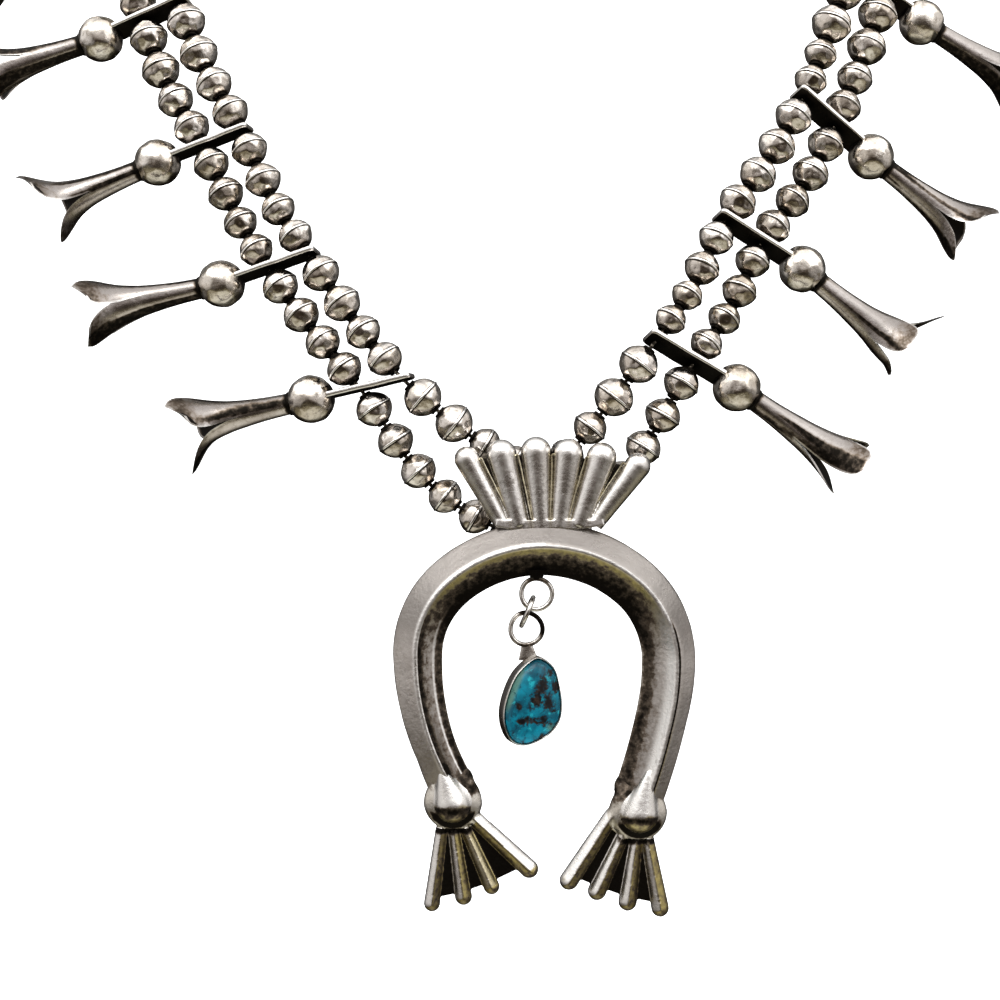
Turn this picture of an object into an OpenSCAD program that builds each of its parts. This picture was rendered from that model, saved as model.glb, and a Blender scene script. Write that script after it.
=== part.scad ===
// Double-strand squash blossom necklace with a cast horseshoe naja and a small turquoise drop,
// in the form that it takes when it is worn. The origin is the middle of the clasp's neck side,
// +X is the wearer's left as seen from the front, +Y runs from the chest back to the nape, +Z is up.

/* [Beads] */
// Free space between two neighbouring beads
bead_gap = 0.45; // [0.35:0.05:0.6]
// Radius of the drilling through a bead
bead_bore_r = 0.9; // [0.8:0.05:1]
// Radius of the flat collar round a bead's drilling
collar_r = 1.3; // [1.2:0.05:1.4]
// How far a bead's equator seam stands out
seam_out = 0.12; // [0.05:0.01:0.15]
// Width of a bead's equator seam
seam_w = 0.35; // [0.2:0.05:0.5]

/* [Threads] */
// Radius of the foxtail thread
thread_r = 0.38; // [0.3:0.02:0.42]

/* [Blossoms] */
// Radius of a blossom's ball
ball_r = 4.9; // [4.7:0.1:5]
// Thickness of a blossom's strip
strip_t = 1.2; // [1:0.1:1.3]
// Width of a blossom's strip, front to back
strip_w = 5.6; // [5:0.1:6]
// Distance from the ball's middle to the strip's inner end
strip_reach = 21.8; // [21.6:0.1:22.2]
// Distance from the ball's middle to the outer strand's hole
hole_first = 10.5; // [10.3:0.1:10.6]
// Distance between the holes of the two strands
hole_step = 9.1; // [8.9:0.1:9.2]
// Radius of the hole for a thread
hole_r = 0.8; // [0.7:0.05:0.9]
// Length of a blossom from the ball's middle to the petal tips
bell_reach = 28.2; // [27:0.1:30]
// Wall of the bell and its petals
petal_t = 0.6; // [0.5:0.05:0.8]

/* [Naja] */
// Height of the ridge above the flat back
ridge_h = 4.6; // [4:0.1:5]
// Thickness of the horseshoe at its thin edges
edge_t = 0.9; // [0.7:0.1:1.2]
// Radius of the ball at a leg's end
foot_ball_r = 4.1; // [3.9:0.1:4.3]
// Outer radius of the bail tubes on the back
bail_r = 1.7; // [1.5:0.1:1.8]
// Bore of the bail tubes
bail_bore_r = 0.9; // [0.7:0.05:0.9]

/* [Drop] */
// Outer radius of the fixed ring and of the jump ring
ring_r = 3.55; // [3.4:0.05:3.6]
// Radius of the rings' wire
wire_r = 0.48; // [0.4:0.02:0.5]
// Depth of the stone's cup
cup_depth = 4.2; // [4:0.1:4.6]
// Wall of the stone's cup
cup_wall = 0.5; // [0.4:0.05:0.6]
// Rise of the stone above the cup's rim
dome_h = 1.8; // [1.4:0.1:2.2]

/* [Clasp] */
// Length of the clasp across the nape
clasp_l = 18; // [16:1:18]
// Height of the clasp
clasp_h = 14; // [14:0.5:15]
// Thickness of the clasp
clasp_t = 4.5; // [4:0.5:5]

/* [Hidden] */

silver = "#c9c3bd";
dark_silver = "#8c857c";
turquoise = "#1d8ea3";
round_fn = 32;

// All places below are measured on the chest: x from the naja's middle, y back from the naja's
// flat back, z up from a level in the crown. The clasp's middle lies at nape in that measure.
nape = [0, 137, 165];
origin = nape - [0, clasp_t / 2, 0];

// Blossoms from the naja upwards:
// [x, y, z of the ball, side, fall of the strip, fall of the bell, lean of the strip, petal turn]
BLOSSOMS = [
  [-46.5, 6.5, 20.5, -1, 12, 11.5, 0, 100],
  [-66, 14.5, 45, -1, 17, 11, 9, 110],
  [-81, 23.5, 72, -1, 18, 21, 4, 70],
  [-95.5, 33.5, 101, -1, 20, 15.5, 19, 105],
  [-104, 50, 128, -1, 24, 24, 22, 80],
  [40.5, 8.5, 23, 1, 29, 34.5, 23, 85],
  [55.5, 17.5, 48.5, 1, 30, 38, 20, 115],
  [72, 27.5, 74, 1, 38, 36, 27, 55],
  [85.5, 38.5, 106, 1, 31, 30, 25, 45],
  [94, 55, 132, 1, 34, 36, 25, 60]
];
// Turn of the strips and bells towards the shoulder
strip_recess = 12;
bell_recess = 6;

// Half strings from the naja to the clasp. A row is one of
// [beads up to this place, blossom crossed there, bare thread shown there if any],
// [beads, -1, x, z of a place between two blossoms, whose y is the mean of theirs],
// [beads, -1, x, y, z of a place on the shoulder] and [beads, -2] for the clasp.
OUTER_LEFT = [
  [3, -1, -22, 3], [3, 0],
  [2, -1, -46.5, 35], [2, 1],
  [2, -1, -64, 61], [2, 2],
  [2, -1, -79.5, 89], [2, 3],
  [4, 4], [5, -1, -93, 80, 151], [6, -1, -62, 115, 160], [7, -2]
];
INNER_LEFT = [
  [2, -1, -14, 13], [2, 0],
  [2, -1, -38, 37], [2, 1],
  [2, -1, -56, 63.5], [2, 2],
  [2, -1, -71, 92], [2, 3],
  [4, 4], [5, -1, -85, 76, 156.5], [6, -1, -57, 109, 167], [7, -2]
];
OUTER_RIGHT = [
  [3, -1, 19, 7.5], [3, 5],
  [2, -1, 40, 40], [2, 6],
  [2, -1, 56, 66], [2, 7],
  [2, -1, 70.5, 95], [2, 8],
  [4, 9], [4, -1, 88, 84, 151], [6, -1, 60, 116, 160], [7, -2]
];
INNER_RIGHT = [
  [2, -1, 12.5, 17.5], [2, 5, 0.7],
  [2, -1, 32, 44.5], [2, 6],
  [2, -1, 48.5, 71.5], [2, 7],
  [2, -1, 62.5, 99.5], [2, 8],
  [4, 9], [4, -1, 80, 80, 156.5], [5, -1, 55, 110, 167], [7, -2]
];
// Bails on the naja's back: [x, z, length, rise of the thread in degrees at the left mouth, at the right mouth]
INNER_BAIL = [0.6, 5.4, 3.6, 36, 46];
OUTER_BAIL = [1, -8.6, 6, 22, 40];
// Depth at which the threads pass through the bails
string_y = 4.6;
// Bare thread between a bail's mouth and its first bead
bail_clear = 1.15;
// Bare thread between the clasp and its first bead
clasp_clear = 0.3;
// Depth of the clasp's drillings, and half the distance between its two strands
socket_depth = 3;
strand_half_step = 4;
// Half of the bare thread left beside a strip so that its bead doesn't touch it
strip_clear = 0.1;
// Height of the flat collar round a bead's drilling
collar_h = 0.4;

function unit(v) = v / norm(v);
function hermite(a, b, ta, tb, t) =
  let (d = norm(b - a), u = 1 - t)
  a * (1 + 2 * t) * u * u + b * t * t * (3 - 2 * t) + d * (ta * t * u * u - tb * t * t * u);
function strip_dir(b) =
  [-b[3] * cos(b[4]) * cos(strip_recess), -cos(b[4]) * sin(strip_recess), sin(b[4])];
function strip_normal(b) =
  let (u = strip_dir(b), lean = [0, sin(b[6]), cos(b[6])])
  unit(lean - (lean * u) * u);
function ball_at(b) = [b[0], b[1], b[2]];
function hole_at(b, strand) = ball_at(b) + strip_dir(b) * (hole_first + strand * hole_step);

function bail_mouth(bail, side) = [bail[0] + side * bail[2] / 2, string_y, bail[1]];
function bail_dir(bail, side) =
  let (rise = side < 0 ? bail[3] : bail[4])
  [side * cos(rise), 0, sin(rise)];
function clasp_mouth(strand, side) =
  nape + [side * (clasp_l / 2 - socket_depth), 0, (strand - 0.5) * 2 * strand_half_step];
function place(route, i, strand, side, start) =
  let (row = route[i])
  i < 0 ? start
  : row[1] >= 0 ? hole_at(BLOSSOMS[row[1]], strand)
  : row[1] == -2 ? clasp_mouth(strand, side) + [side * socket_depth, 0, 0]
  : len(row) == 5 ? [row[2], row[3], row[4]]
  : let (
      before = place(route, i - 1, strand, side, start),
      after = place(route, i + 1, strand, side, start)
    )
    [row[2], (before[1] + after[1]) / 2, row[3]];
function places(route, strand, side, start) =
  [for (i = [-1 : len(route) - 1]) place(route, i, strand, side, start)];
function heading(points, i, first, last) =
  i == 0 ? first : i == len(points) - 1 ? last : unit(points[i + 1] - points[i - 1]);
// Half of the length of thread between the beads on both sides of a strip
function half_pass(b, dir) =
  let (c = abs(strip_normal(b) * dir))
  strip_t / 2 / c + collar_r * sqrt(1 - c * c) / c + strip_clear;
function clearance(route, i, dir) =
  i == 0 ? bail_clear
  : route[i - 1][1] == -2 ? clasp_clear
  : route[i - 1][1] < 0 ? 0
  : half_pass(BLOSSOMS[route[i - 1][1]], dir) + (len(route[i - 1]) == 3 ? route[i - 1][2] : 0);
// The gaps between beads, one list for each stretch between two places of the route
function stretches(route, strand, side, bail) =
  let (
    points = places(route, strand, side, bail_mouth(bail, side)),
    last = [-side, 0, 0],
    dirs = [for (i = [0 : len(points) - 1]) heading(points, i, bail_dir(bail, side), last)],
    clears = [for (i = [0 : len(points) - 1]) clearance(route, i, dirs[i])]
  )
  [for (i = [0 : len(route) - 1])
    let (
      a = points[i] + dirs[i] * clears[i],
      b = points[i + 1] - dirs[i + 1] * clears[i + 1],
      n = route[i][0]
    )
    [for (j = [0 : n]) hermite(a, b, dirs[i], dirs[i + 1], j / n)]];
function hole_dir(route, strand, side, bail, blossom) =
  let (
    points = places(route, strand, side, bail_mouth(bail, side)),
    i = [for (k = [0 : len(route) - 1]) if (route[k][1] == blossom) k][0]
  )
  unit(points[i + 2] - points[i]);

inner_left = stretches(INNER_LEFT, 1, -1, INNER_BAIL);
inner_right = stretches(INNER_RIGHT, 1, 1, INNER_BAIL);
outer_left = stretches(OUTER_LEFT, 0, -1, OUTER_BAIL);
outer_right = stretches(OUTER_RIGHT, 0, 1, OUTER_BAIL);

// Free space between a thread's end and the bottom of its drilling in the clasp
thread_end_gap = 0.2;
// Thread points of a half string, outwards from the naja into the clasp
function thread_points(route, gaps, strand, side) =
  concat(
    [for (i = [0 : len(gaps) - 1])
      let (skip = i > 0 && route[i - 1][1] == -1 ? 1 : 0)
      for (j = [skip : len(gaps[i]) - 1]) gaps[i][j]],
    [clasp_mouth(strand, side) + [side * thread_end_gap, 0, 0]]
  );
function reversed(list) = [for (i = [len(list) - 1 : -1 : 0]) list[i]];

// Lays the shape's z axis along a direction, at a point
module along(point, dir) {
  translate(point)
    rotate([0, acos(dir[2] / norm(dir)), atan2(dir[1], dir[0])])
      children();
}

// Half of a bead's section, turned round its drilling
module bead_section(r) {
  intersection() {
    circle(r, $fn = round_fn);
    translate([bead_bore_r, -r])
      square([r, 2 * r]);
  }
  translate([bead_bore_r, -seam_w / 2])
    square([r + seam_out - bead_bore_r, seam_w]);
  for (end = [-r, r - collar_h])
    translate([bead_bore_r, end])
      square([collar_r - bead_bore_r, collar_h]);
}

module bead(a, b) {
  r = (norm(b - a) - bead_gap) / 2;
  along((a + b) / 2, b - a)
    rotate_extrude($fn = round_fn)
      bead_section(r);
}

module half_string(gaps) {
  color(silver)
    for (stretch = gaps, i = [0 : len(stretch) - 2])
      bead(stretch[i], stretch[i + 1]);
}

// A round thread swept through its points as one closed tube
module thread(points) {
  sides = 6;
  n = len(points);
  dirs = [for (i = [0 : n - 1])
    unit(points[min(i + 1, n - 1)] - points[max(i - 1, 0)])];
  rings = [for (i = [0 : n - 1])
    let (
      d = dirs[i],
      across = unit(cross(d, abs(d[1]) < 0.9 ? [0, 1, 0] : [1, 0, 0])),
      other = cross(d, across)
    )
    for (k = [0 : sides - 1])
      points[i] + thread_r * (across * cos(k * 360 / sides) + other * sin(k * 360 / sides))];
  faces = concat(
    [[for (k = [0 : sides - 1]) k]],
    [for (i = [0 : n - 2], k = [0 : sides - 1])
      let (a = i * sides + k, b = i * sides + (k + 1) % sides)
      [b, a, a + sides]],
    [for (i = [0 : n - 2], k = [0 : sides - 1])
      let (a = i * sides + k, b = i * sides + (k + 1) % sides)
      [b, a + sides, b + sides]],
    [[for (k = [sides - 1 : -1 : 0]) (n - 1) * sides + k]]
  );
  color(dark_silver)
    polyhedron(points = rings, faces = faces);
}

// The strip's frame: x from the ball to the inner end, z across its faces
module strip_frame(b) {
  translate(ball_at(b))
    rotate([0, -b[4], b[3] < 0 ? -strip_recess : 180 + strip_recess])
      rotate([b[3] * b[6], 0, 0])
        children();
}

module strip(b) {
  strip_frame(b) {
    translate([0, -strip_w / 2, -strip_t / 2])
      cube([strip_reach - strip_w / 4, strip_w, strip_t]);
    translate([strip_reach - strip_w / 4, 0, -strip_t / 2])
      intersection() {
        cylinder(r = strip_w / 2, h = strip_t, $fn = round_fn);
        translate([0, -strip_w / 2, 0])
          cube([strip_w / 4, strip_w, strip_t]);
      }
  }
}

// Half of the bell's section: [distance from the ball's middle, middle of the wall from the axis]
BELL = [[3.5, 1.85], [9, 2.05], [14, 2.5], [18, 3.1], [22, 4.2], [25.5, 5.9], [bell_reach, 8]];

module bell_section() {
  n = len(BELL) - 1;
  polygon(concat(
    [for (i = [0 : n]) [BELL[i][1] + petal_t / 2, BELL[i][0]]],
    [for (i = [n : -1 : 0]) [BELL[i][1] - petal_t / 2, BELL[i][0]]]
  ));
}

// The slit between two petals: [distance from the ball's middle, half width]
SLIT = [[14.5, 0], [17, 0.4], [20.5, 1], [24, 2.1], [26.7, 4], [29.5, 7.5]];

module slit() {
  n = len(SLIT) - 1;
  rotate([90, 0, 90])
    linear_extrude(2 * BELL[len(BELL) - 1][1])
      polygon(concat(
        [for (i = [0 : n]) [SLIT[i][1], SLIT[i][0]]],
        [for (i = [n : -1 : 1]) [-SLIT[i][1], SLIT[i][0]]]
      ));
}

module bell(b) {
  translate(ball_at(b))
    rotate([0, b[5], b[3] < 0 ? 180 - bell_recess : bell_recess])
      rotate([0, 90, 0])
        rotate([0, 0, b[7]])
          difference() {
            rotate_extrude($fn = round_fn)
              bell_section();
            for (turn = [0, 120, 240])
              rotate([0, 0, turn])
                slit();
          }
}

module blossom(i, outer_route, inner_route) {
  hole_l = 4;
  b = BLOSSOMS[i];
  side = b[3];
  color(silver)
    difference() {
      union() {
        translate(ball_at(b))
          rotate([0, 0, 90])
            sphere(ball_r, $fn = round_fn);
        strip(b);
        bell(b);
      }
      along(hole_at(b, 0), hole_dir(outer_route, 0, side, OUTER_BAIL, i))
        cylinder(r = hole_r, h = hole_l, center = true, $fn = round_fn);
      along(hole_at(b, 1), hole_dir(inner_route, 1, side, INNER_BAIL, i))
        cylinder(r = hole_r, h = hole_l, center = true, $fn = round_fn);
    }
}

// Horseshoe

naja_x = 0.8;
ridge_top_z = -9.1;
// Turn of the ridge line between two sections of the band
turn_step = 5;
// Arcs of the ridge line from its top down each leg: [radius, turn in degrees]
LEFT_ARCS = [[29.1, 40], [19.3, 50], [51, 30]];
RIGHT_ARCS = [[29.1, 40], [21.6, 50], [50, 12], [130, 8]];
// Half widths of the band: [turn of the ridge line, to the outer edge, to the inner edge, height]
LEFT_BAND = [
  [0, 4.8, 5.9, ridge_h], [90, 4.6, 5.3, ridge_h],
  [113, 4, 4.4, ridge_h - 0.3], [120, 4.6, 5.2, ridge_h - 0.6]
];
RIGHT_BAND = [
  [0, 4.8, 5.9, ridge_h], [90, 3.8, 6.9, ridge_h],
  [106, 3.3, 6.9, ridge_h - 0.3], [110, 3.2, 7.6, ridge_h - 0.6]
];

function band(rows, turn, column) = lookup(turn, [for (row = rows) [row[0], row[column]]]);
// A point of the ridge line, and how far the line has turned from level there
function arc_end(arcs, k, from) =
  k == 0 ? from
  : let (
      start = arc_end(arcs, k - 1, from),
      r = arcs[k - 1][0],
      a0 = start[2],
      a1 = a0 + arcs[k - 1][1]
    )
    [start[0] + r * (sin(a1) - sin(a0)), start[1] - r * (cos(a0) - cos(a1)), a1];
function leg_line(arcs) =
  concat([[0, ridge_top_z, 0]],
    [for (k = [0 : len(arcs) - 1])
      let (start = arc_end(arcs, k, [0, ridge_top_z, 0]), steps = round(arcs[k][1] / turn_step))
      for (j = [1 : steps])
        let (r = arcs[k][0], a0 = start[2], a1 = a0 + arcs[k][1] * j / steps)
        [start[0] + r * (sin(a1) - sin(a0)), start[1] - r * (cos(a0) - cos(a1)), a1]]);

module leg(arcs, rows) {
  line = leg_line(arcs);
  n = len(line);
  corners = [for (row = line)
    let (
      out = [sin(row[2]), cos(row[2])],
      ridge = [row[0], row[1]],
      outer = ridge + out * band(rows, row[2], 1),
      inner = ridge - out * band(rows, row[2], 2),
      h = band(rows, row[2], 3)
    )
    for (p = [[outer, 0], [outer, edge_t], [ridge, h], [inner, edge_t], [inner, 0]])
      [p[0][0], -p[1], p[0][1]]];
  faces = concat(
    [[0, 1, 2, 3, 4]],
    [for (i = [0 : n - 2], k = [0 : 4])
      let (a = i * 5 + k, b = i * 5 + (k + 1) % 5)
      [b, a, a + 5]],
    [for (i = [0 : n - 2], k = [0 : 4])
      let (a = i * 5 + k, b = i * 5 + (k + 1) % 5)
      [b, a + 5, b + 5]],
    [[for (k = [4 : -1 : 0]) (n - 1) * 5 + k]]
  );
  polyhedron(points = corners, faces = faces);
}

module horseshoe() {
  translate([naja_x, 0, 0]) {
    leg(RIGHT_ARCS, RIGHT_BAND);
    mirror([1, 0, 0])
      leg(LEFT_ARCS, LEFT_BAND);
  }
}

// Ribs: [x, z of the root, x, z of the rounded tip's middle, radius at root, radius at tip]
CROWN = [
  [-7.6, -4.4, -14.6, 8.2, 1.5, 2.3],
  [-4, -4.4, -7.7, 9.2, 1.9, 2.75],
  [0.3, -4.4, -0.8, 9.8, 1.65, 2.75],
  [3.8, -4.4, 5.6, 9.4, 1.65, 2.75],
  [7.7, -4.4, 12.3, 8.6, 1.9, 2.75],
  [11.1, -4.4, 19.5, 6.8, 1.6, 2.4]
];
LEFT_FOOT = [
  [-19.8, -66.5, -21.6, -80.8, 1, 1.4],
  [-17, -67, -15.3, -79.4, 1, 1.4],
  [-14.5, -66, -9.7, -77.4, 0.9, 1.3],
  [-12.5, -64.1, -2, -73.8, 1.2, 1.65]
];
RIGHT_FOOT = [
  [13.6, -63.7, 5.6, -76.2, 1.2, 1.7],
  [16.2, -67.2, 11.4, -78.3, 1.1, 1.65],
  [19, -69, 17.5, -80.4, 1.1, 1.65],
  [21.6, -69, 24, -81.7, 1.1, 1.5]
];
FOOT_BALLS = [[-17.4, -59.6], [19.4, -61.4]];
web_t = 0.9;
// Share of a rib's length that the web behind it covers
web_reach = 0.93;

module rib(row) {
  root = [row[0], 0, row[1]];
  run = [row[2] - row[0], 0, row[3] - row[1]];
  along(root, run) {
    cylinder(r1 = row[4], r2 = row[5], h = norm(run), $fn = round_fn);
    translate([0, 0, norm(run)])
      sphere(row[5], $fn = round_fn);
  }
}

// A thin plate behind a fan of ribs
module web(ribs) {
  n = len(ribs) - 1;
  rotate([90, 0, 0])
    linear_extrude(web_t)
      polygon(concat(
        [for (i = [0 : n]) [ribs[i][0], ribs[i][1]]],
        [for (i = [n : -1 : 0])
          [ribs[i][0] + (ribs[i][2] - ribs[i][0]) * web_reach,
           ribs[i][1] + (ribs[i][3] - ribs[i][1]) * web_reach]]
      ));
}

module fan(ribs) {
  intersection() {
    for (row = ribs)
      rib(row);
    translate([-50, -10, -100])
      cube([100, 10, 150]);
  }
  web(ribs);
}

module foot_ball(at) {
  rim_r = 5.9;
  rim_h = 2.4;
  ball_z = 1.8;
  translate([at[0], 0, at[1]])
    rotate([90, 0, 0]) {
      cylinder(r1 = rim_r, r2 = foot_ball_r, h = rim_h, $fn = round_fn);
      intersection() {
        translate([0, 0, ball_z])
          sphere(foot_ball_r, $fn = round_fn);
        cylinder(r = rim_r, h = 2 * foot_ball_r, $fn = round_fn);
      }
    }
}

// Plates that join a ball to its leg and to its foot
module foot_join(at, fan_ribs) {
  half_w = 5;
  join_t = 1.3;
  lap = 1;
  n = len(fan_ribs) - 1;
  rotate([90, 0, 0])
    linear_extrude(join_t)
      polygon([
        [at[0] - half_w, at[1]],
        [fan_ribs[0][0], fan_ribs[0][1] - lap],
        [fan_ribs[n][0], fan_ribs[n][1] - lap],
        [at[0] + half_w, at[1]]
      ]);
}

module bail(row) {
  // The plate that carries the tube, and how deep it sinks into the naja
  plate_t = 1.8;
  sink = 0.4;
  translate([row[0] - row[2] / 2, string_y, row[1]])
    rotate([0, 90, 0])
      cylinder(r = bail_r, h = row[2], $fn = round_fn);
  translate([row[0] - row[2] / 2, -sink, row[1] - plate_t / 2])
    cube([row[2], string_y + sink, plate_t]);
}

module bail_bore(row) {
  translate([row[0] - row[2] / 2 - 1, string_y, row[1]])
    rotate([0, 90, 0])
      cylinder(r = bail_bore_r, h = row[2] + 2, $fn = round_fn);
}

module wire_ring(outer_r) {
  rotate_extrude($fn = 48)
    translate([outer_r - wire_r, 0])
      circle(wire_r, $fn = 16);
}

fixed_ring = [-0.7, -1.4, -18.7];
// Block of solder over the fixed ring: lowest corner from the ring's highest point, and size
RING_SOLDER = [[-1.5, -0.6, -0.7], [3, 1.4, 1.8]];
// Lowest corner and size of the bar that joins the crown to the horseshoe
CROWN_BAR = [[-9.3, -2.8, -5.6], [22.2, 2.8, 2]];

module naja() {
  color(silver) {
    difference() {
      union() {
        horseshoe();
        fan(CROWN);
        translate(CROWN_BAR[0])
          cube(CROWN_BAR[1]);
        fan(LEFT_FOOT);
        fan(RIGHT_FOOT);
        foot_ball(FOOT_BALLS[0]);
        foot_ball(FOOT_BALLS[1]);
        foot_join(FOOT_BALLS[0], LEFT_FOOT);
        foot_join(FOOT_BALLS[1], RIGHT_FOOT);
        bail(INNER_BAIL);
        bail(OUTER_BAIL);
        translate(fixed_ring)
          rotate([90, 0, 0])
            wire_ring(ring_r);
        translate(fixed_ring + RING_SOLDER[0] + [0, 0, ring_r])
          cube(RING_SOLDER[1]);
      }
      bail_bore(INNER_BAIL);
      bail_bore(OUTER_BAIL);
    }
  }
}

// Drop

jump_ring_at = [-2.5, 0.2, -22.3];
jump_ring_lean = 24;
drop_ring_at = [-2.7, 2, -25.9];
drop_ring_r = 3.7;
stone_at = [-1.9, 0.6, -40.6];
drop_turn = 12;
// Thickness of the cup's floor, and the free space under and round the stone
cup_floor = 0.8;
floor_gap = 0.1;
stone_gap = 0.12;
// Block of solder under the drop's ring: lowest corner from the ring's lowest point, and size
DROP_SOLDER = [[-1.4, 0.15, -2.9], [3.4, 0.7, 3.5]];
// Outline of the cup round the stone's middle, clockwise from the top
OUTLINE = [
  [1.7, 9.3], [4.5, 7.2], [5.7, 3.4], [6.2, -0.4], [5.6, -3.8], [3.2, -6.6],
  [-1.2, -8.4], [-4.4, -7.5], [-6, -3.9], [-5.8, 0.4], [-3.7, 5.6], [-0.6, 8.7]
];

function catmull(p, q, r, s, t) =
  0.5 * (2 * q + (r - p) * t + (2 * p - 5 * q + 4 * r - s) * t * t
    + (3 * q - p - 3 * r + s) * t * t * t);
outline_curve =
  let (n = len(OUTLINE))
  [for (i = [0 : n - 1], j = [0 : 3])
    catmull(OUTLINE[(i + n - 1) % n], OUTLINE[i], OUTLINE[(i + 1) % n], OUTLINE[(i + 2) % n], j / 4)];
// The outline moved inwards all round
function inset(by) = [for (p = outline_curve) p * (1 - by / norm(p))];

module drop_frame() {
  translate(stone_at)
    rotate([90, 0, drop_turn])
      children();
}

module drop_jump_ring() {
  color(dark_silver)
    translate(jump_ring_at)
      rotate([0, jump_ring_lean, 0])
        rotate([0, 90, 0])
          wire_ring(ring_r);
}

module drop_bezel() {
  back = -cup_depth / 2;
  color(silver) {
    drop_frame()
      translate([0, 0, back])
        difference() {
          linear_extrude(cup_depth)
            polygon(inset(0));
          translate([0, 0, cup_floor])
            linear_extrude(cup_depth)
              polygon(inset(cup_wall));
        }
    translate(drop_ring_at)
      rotate([90, 0, 0])
        wire_ring(drop_ring_r);
    translate(drop_ring_at + DROP_SOLDER[0] - [0, 0, drop_ring_r])
      cube(DROP_SOLDER[1]);
  }
}

module drop_stone() {
  floor_z = -cup_depth / 2 + cup_floor + floor_gap;
  rim_z = cup_depth / 2 + 0.1;
  // Rings of the stone: [height, inset from the cup's outline]
  rings = [
    [floor_z, cup_wall + stone_gap],
    [rim_z - 0.5, cup_wall + stone_gap],
    [rim_z + dome_h * 0.35, cup_wall + 0.7],
    [rim_z + dome_h * 0.65, cup_wall + 1.7],
    [rim_z + dome_h * 0.88, cup_wall + 3]
  ];
  n = len(outline_curve);
  m = len(rings);
  points = concat(
    [for (row = rings) for (p = inset(row[1])) [p[0], p[1], row[0]]],
    [[0, 0, floor_z], [0, 0, rim_z + dome_h]]
  );
  faces = concat(
    [for (k = [0 : n - 1]) [m * n, (k + 1) % n, k]],
    [for (i = [0 : m - 2], k = [0 : n - 1])
      let (a = i * n + k, b = i * n + (k + 1) % n)
      [a, b, b + n]],
    [for (i = [0 : m - 2], k = [0 : n - 1])
      let (a = i * n + k, b = i * n + (k + 1) % n)
      [a, b + n, a + n]],
    [for (k = [0 : n - 1]) [(m - 1) * n + k, (m - 1) * n + (k + 1) % n, m * n + 1]]
  );
  color(turquoise)
    drop_frame()
      polyhedron(points = points, faces = faces);
}

module clasp() {
  end_l = 6;
  color(silver)
    difference() {
      union() {
        for (side = [-1, 1])
          translate(nape + [side * (clasp_l / 2 - end_l / 2), 0, 0])
            cube([end_l, clasp_t, clasp_h], center = true);
        translate(nape)
          rotate([0, 90, 0])
            cylinder(r = clasp_t / 2 - 0.2, h = clasp_l - end_l, center = true, $fn = round_fn);
      }
      for (side = [-1, 1], strand = [0, 1])
        translate(clasp_mouth(strand, side))
          rotate([0, side * 90, 0])
            cylinder(r = hole_r, h = socket_depth + 1, $fn = round_fn);
    }
}

module thread_inner() {
  thread(concat(
    reversed(thread_points(INNER_LEFT, inner_left, 1, -1)),
    [bail_mouth(INNER_BAIL, -1), bail_mouth(INNER_BAIL, 1)],
    thread_points(INNER_RIGHT, inner_right, 1, 1)
  ));
}

module thread_outer() {
  thread(concat(
    reversed(thread_points(OUTER_LEFT, outer_left, 0, -1)),
    [bail_mouth(OUTER_BAIL, -1), bail_mouth(OUTER_BAIL, 1)],
    thread_points(OUTER_RIGHT, outer_right, 0, 1)
  ));
}

translate(-origin) naja();
translate(-origin) drop_jump_ring();
translate(-origin) drop_bezel();
translate(-origin) drop_stone();
translate(-origin) blossom(0, OUTER_LEFT, INNER_LEFT);  // blossom_l1
translate(-origin) blossom(1, OUTER_LEFT, INNER_LEFT);  // blossom_l2
translate(-origin) blossom(2, OUTER_LEFT, INNER_LEFT);  // blossom_l3
translate(-origin) blossom(3, OUTER_LEFT, INNER_LEFT);  // blossom_l4
translate(-origin) blossom(4, OUTER_LEFT, INNER_LEFT);  // blossom_l5
translate(-origin) blossom(5, OUTER_RIGHT, INNER_RIGHT);  // blossom_r1
translate(-origin) blossom(6, OUTER_RIGHT, INNER_RIGHT);  // blossom_r2
translate(-origin) blossom(7, OUTER_RIGHT, INNER_RIGHT);  // blossom_r3
translate(-origin) blossom(8, OUTER_RIGHT, INNER_RIGHT);  // blossom_r4
translate(-origin) blossom(9, OUTER_RIGHT, INNER_RIGHT);  // blossom_r5
translate(-origin) half_string(inner_left);  // beads_inner_left
translate(-origin) half_string(inner_right);  // beads_inner_right
translate(-origin) half_string(outer_left);  // beads_outer_left
translate(-origin) half_string(outer_right);  // beads_outer_right
translate(-origin) thread_inner();
translate(-origin) thread_outer();
translate(-origin) clasp();
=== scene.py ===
"""Looks of the squash blossom necklace. Measures are in millimetres on the chest: x from the
middle, y back from the naja's flat back, z up; place() turns them into the row frame."""

import math
import random

import bmesh
import bpy
import numpy as np
from mathutils import Euler, Matrix, Vector, noise

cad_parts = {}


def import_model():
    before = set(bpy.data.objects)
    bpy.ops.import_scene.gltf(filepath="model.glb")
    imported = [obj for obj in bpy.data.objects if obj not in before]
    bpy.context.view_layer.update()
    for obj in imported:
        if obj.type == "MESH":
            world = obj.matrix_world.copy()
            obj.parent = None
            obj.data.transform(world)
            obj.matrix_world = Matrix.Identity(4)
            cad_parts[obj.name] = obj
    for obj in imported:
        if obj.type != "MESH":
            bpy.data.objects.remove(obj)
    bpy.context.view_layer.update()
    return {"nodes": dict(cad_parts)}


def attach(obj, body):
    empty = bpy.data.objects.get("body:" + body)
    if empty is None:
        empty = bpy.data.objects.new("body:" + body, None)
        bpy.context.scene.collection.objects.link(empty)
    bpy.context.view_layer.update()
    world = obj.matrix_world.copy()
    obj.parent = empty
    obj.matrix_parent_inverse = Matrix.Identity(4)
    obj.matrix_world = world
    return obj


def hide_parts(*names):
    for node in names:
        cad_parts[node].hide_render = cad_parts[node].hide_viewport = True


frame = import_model()
NODES = frame["nodes"]
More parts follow.
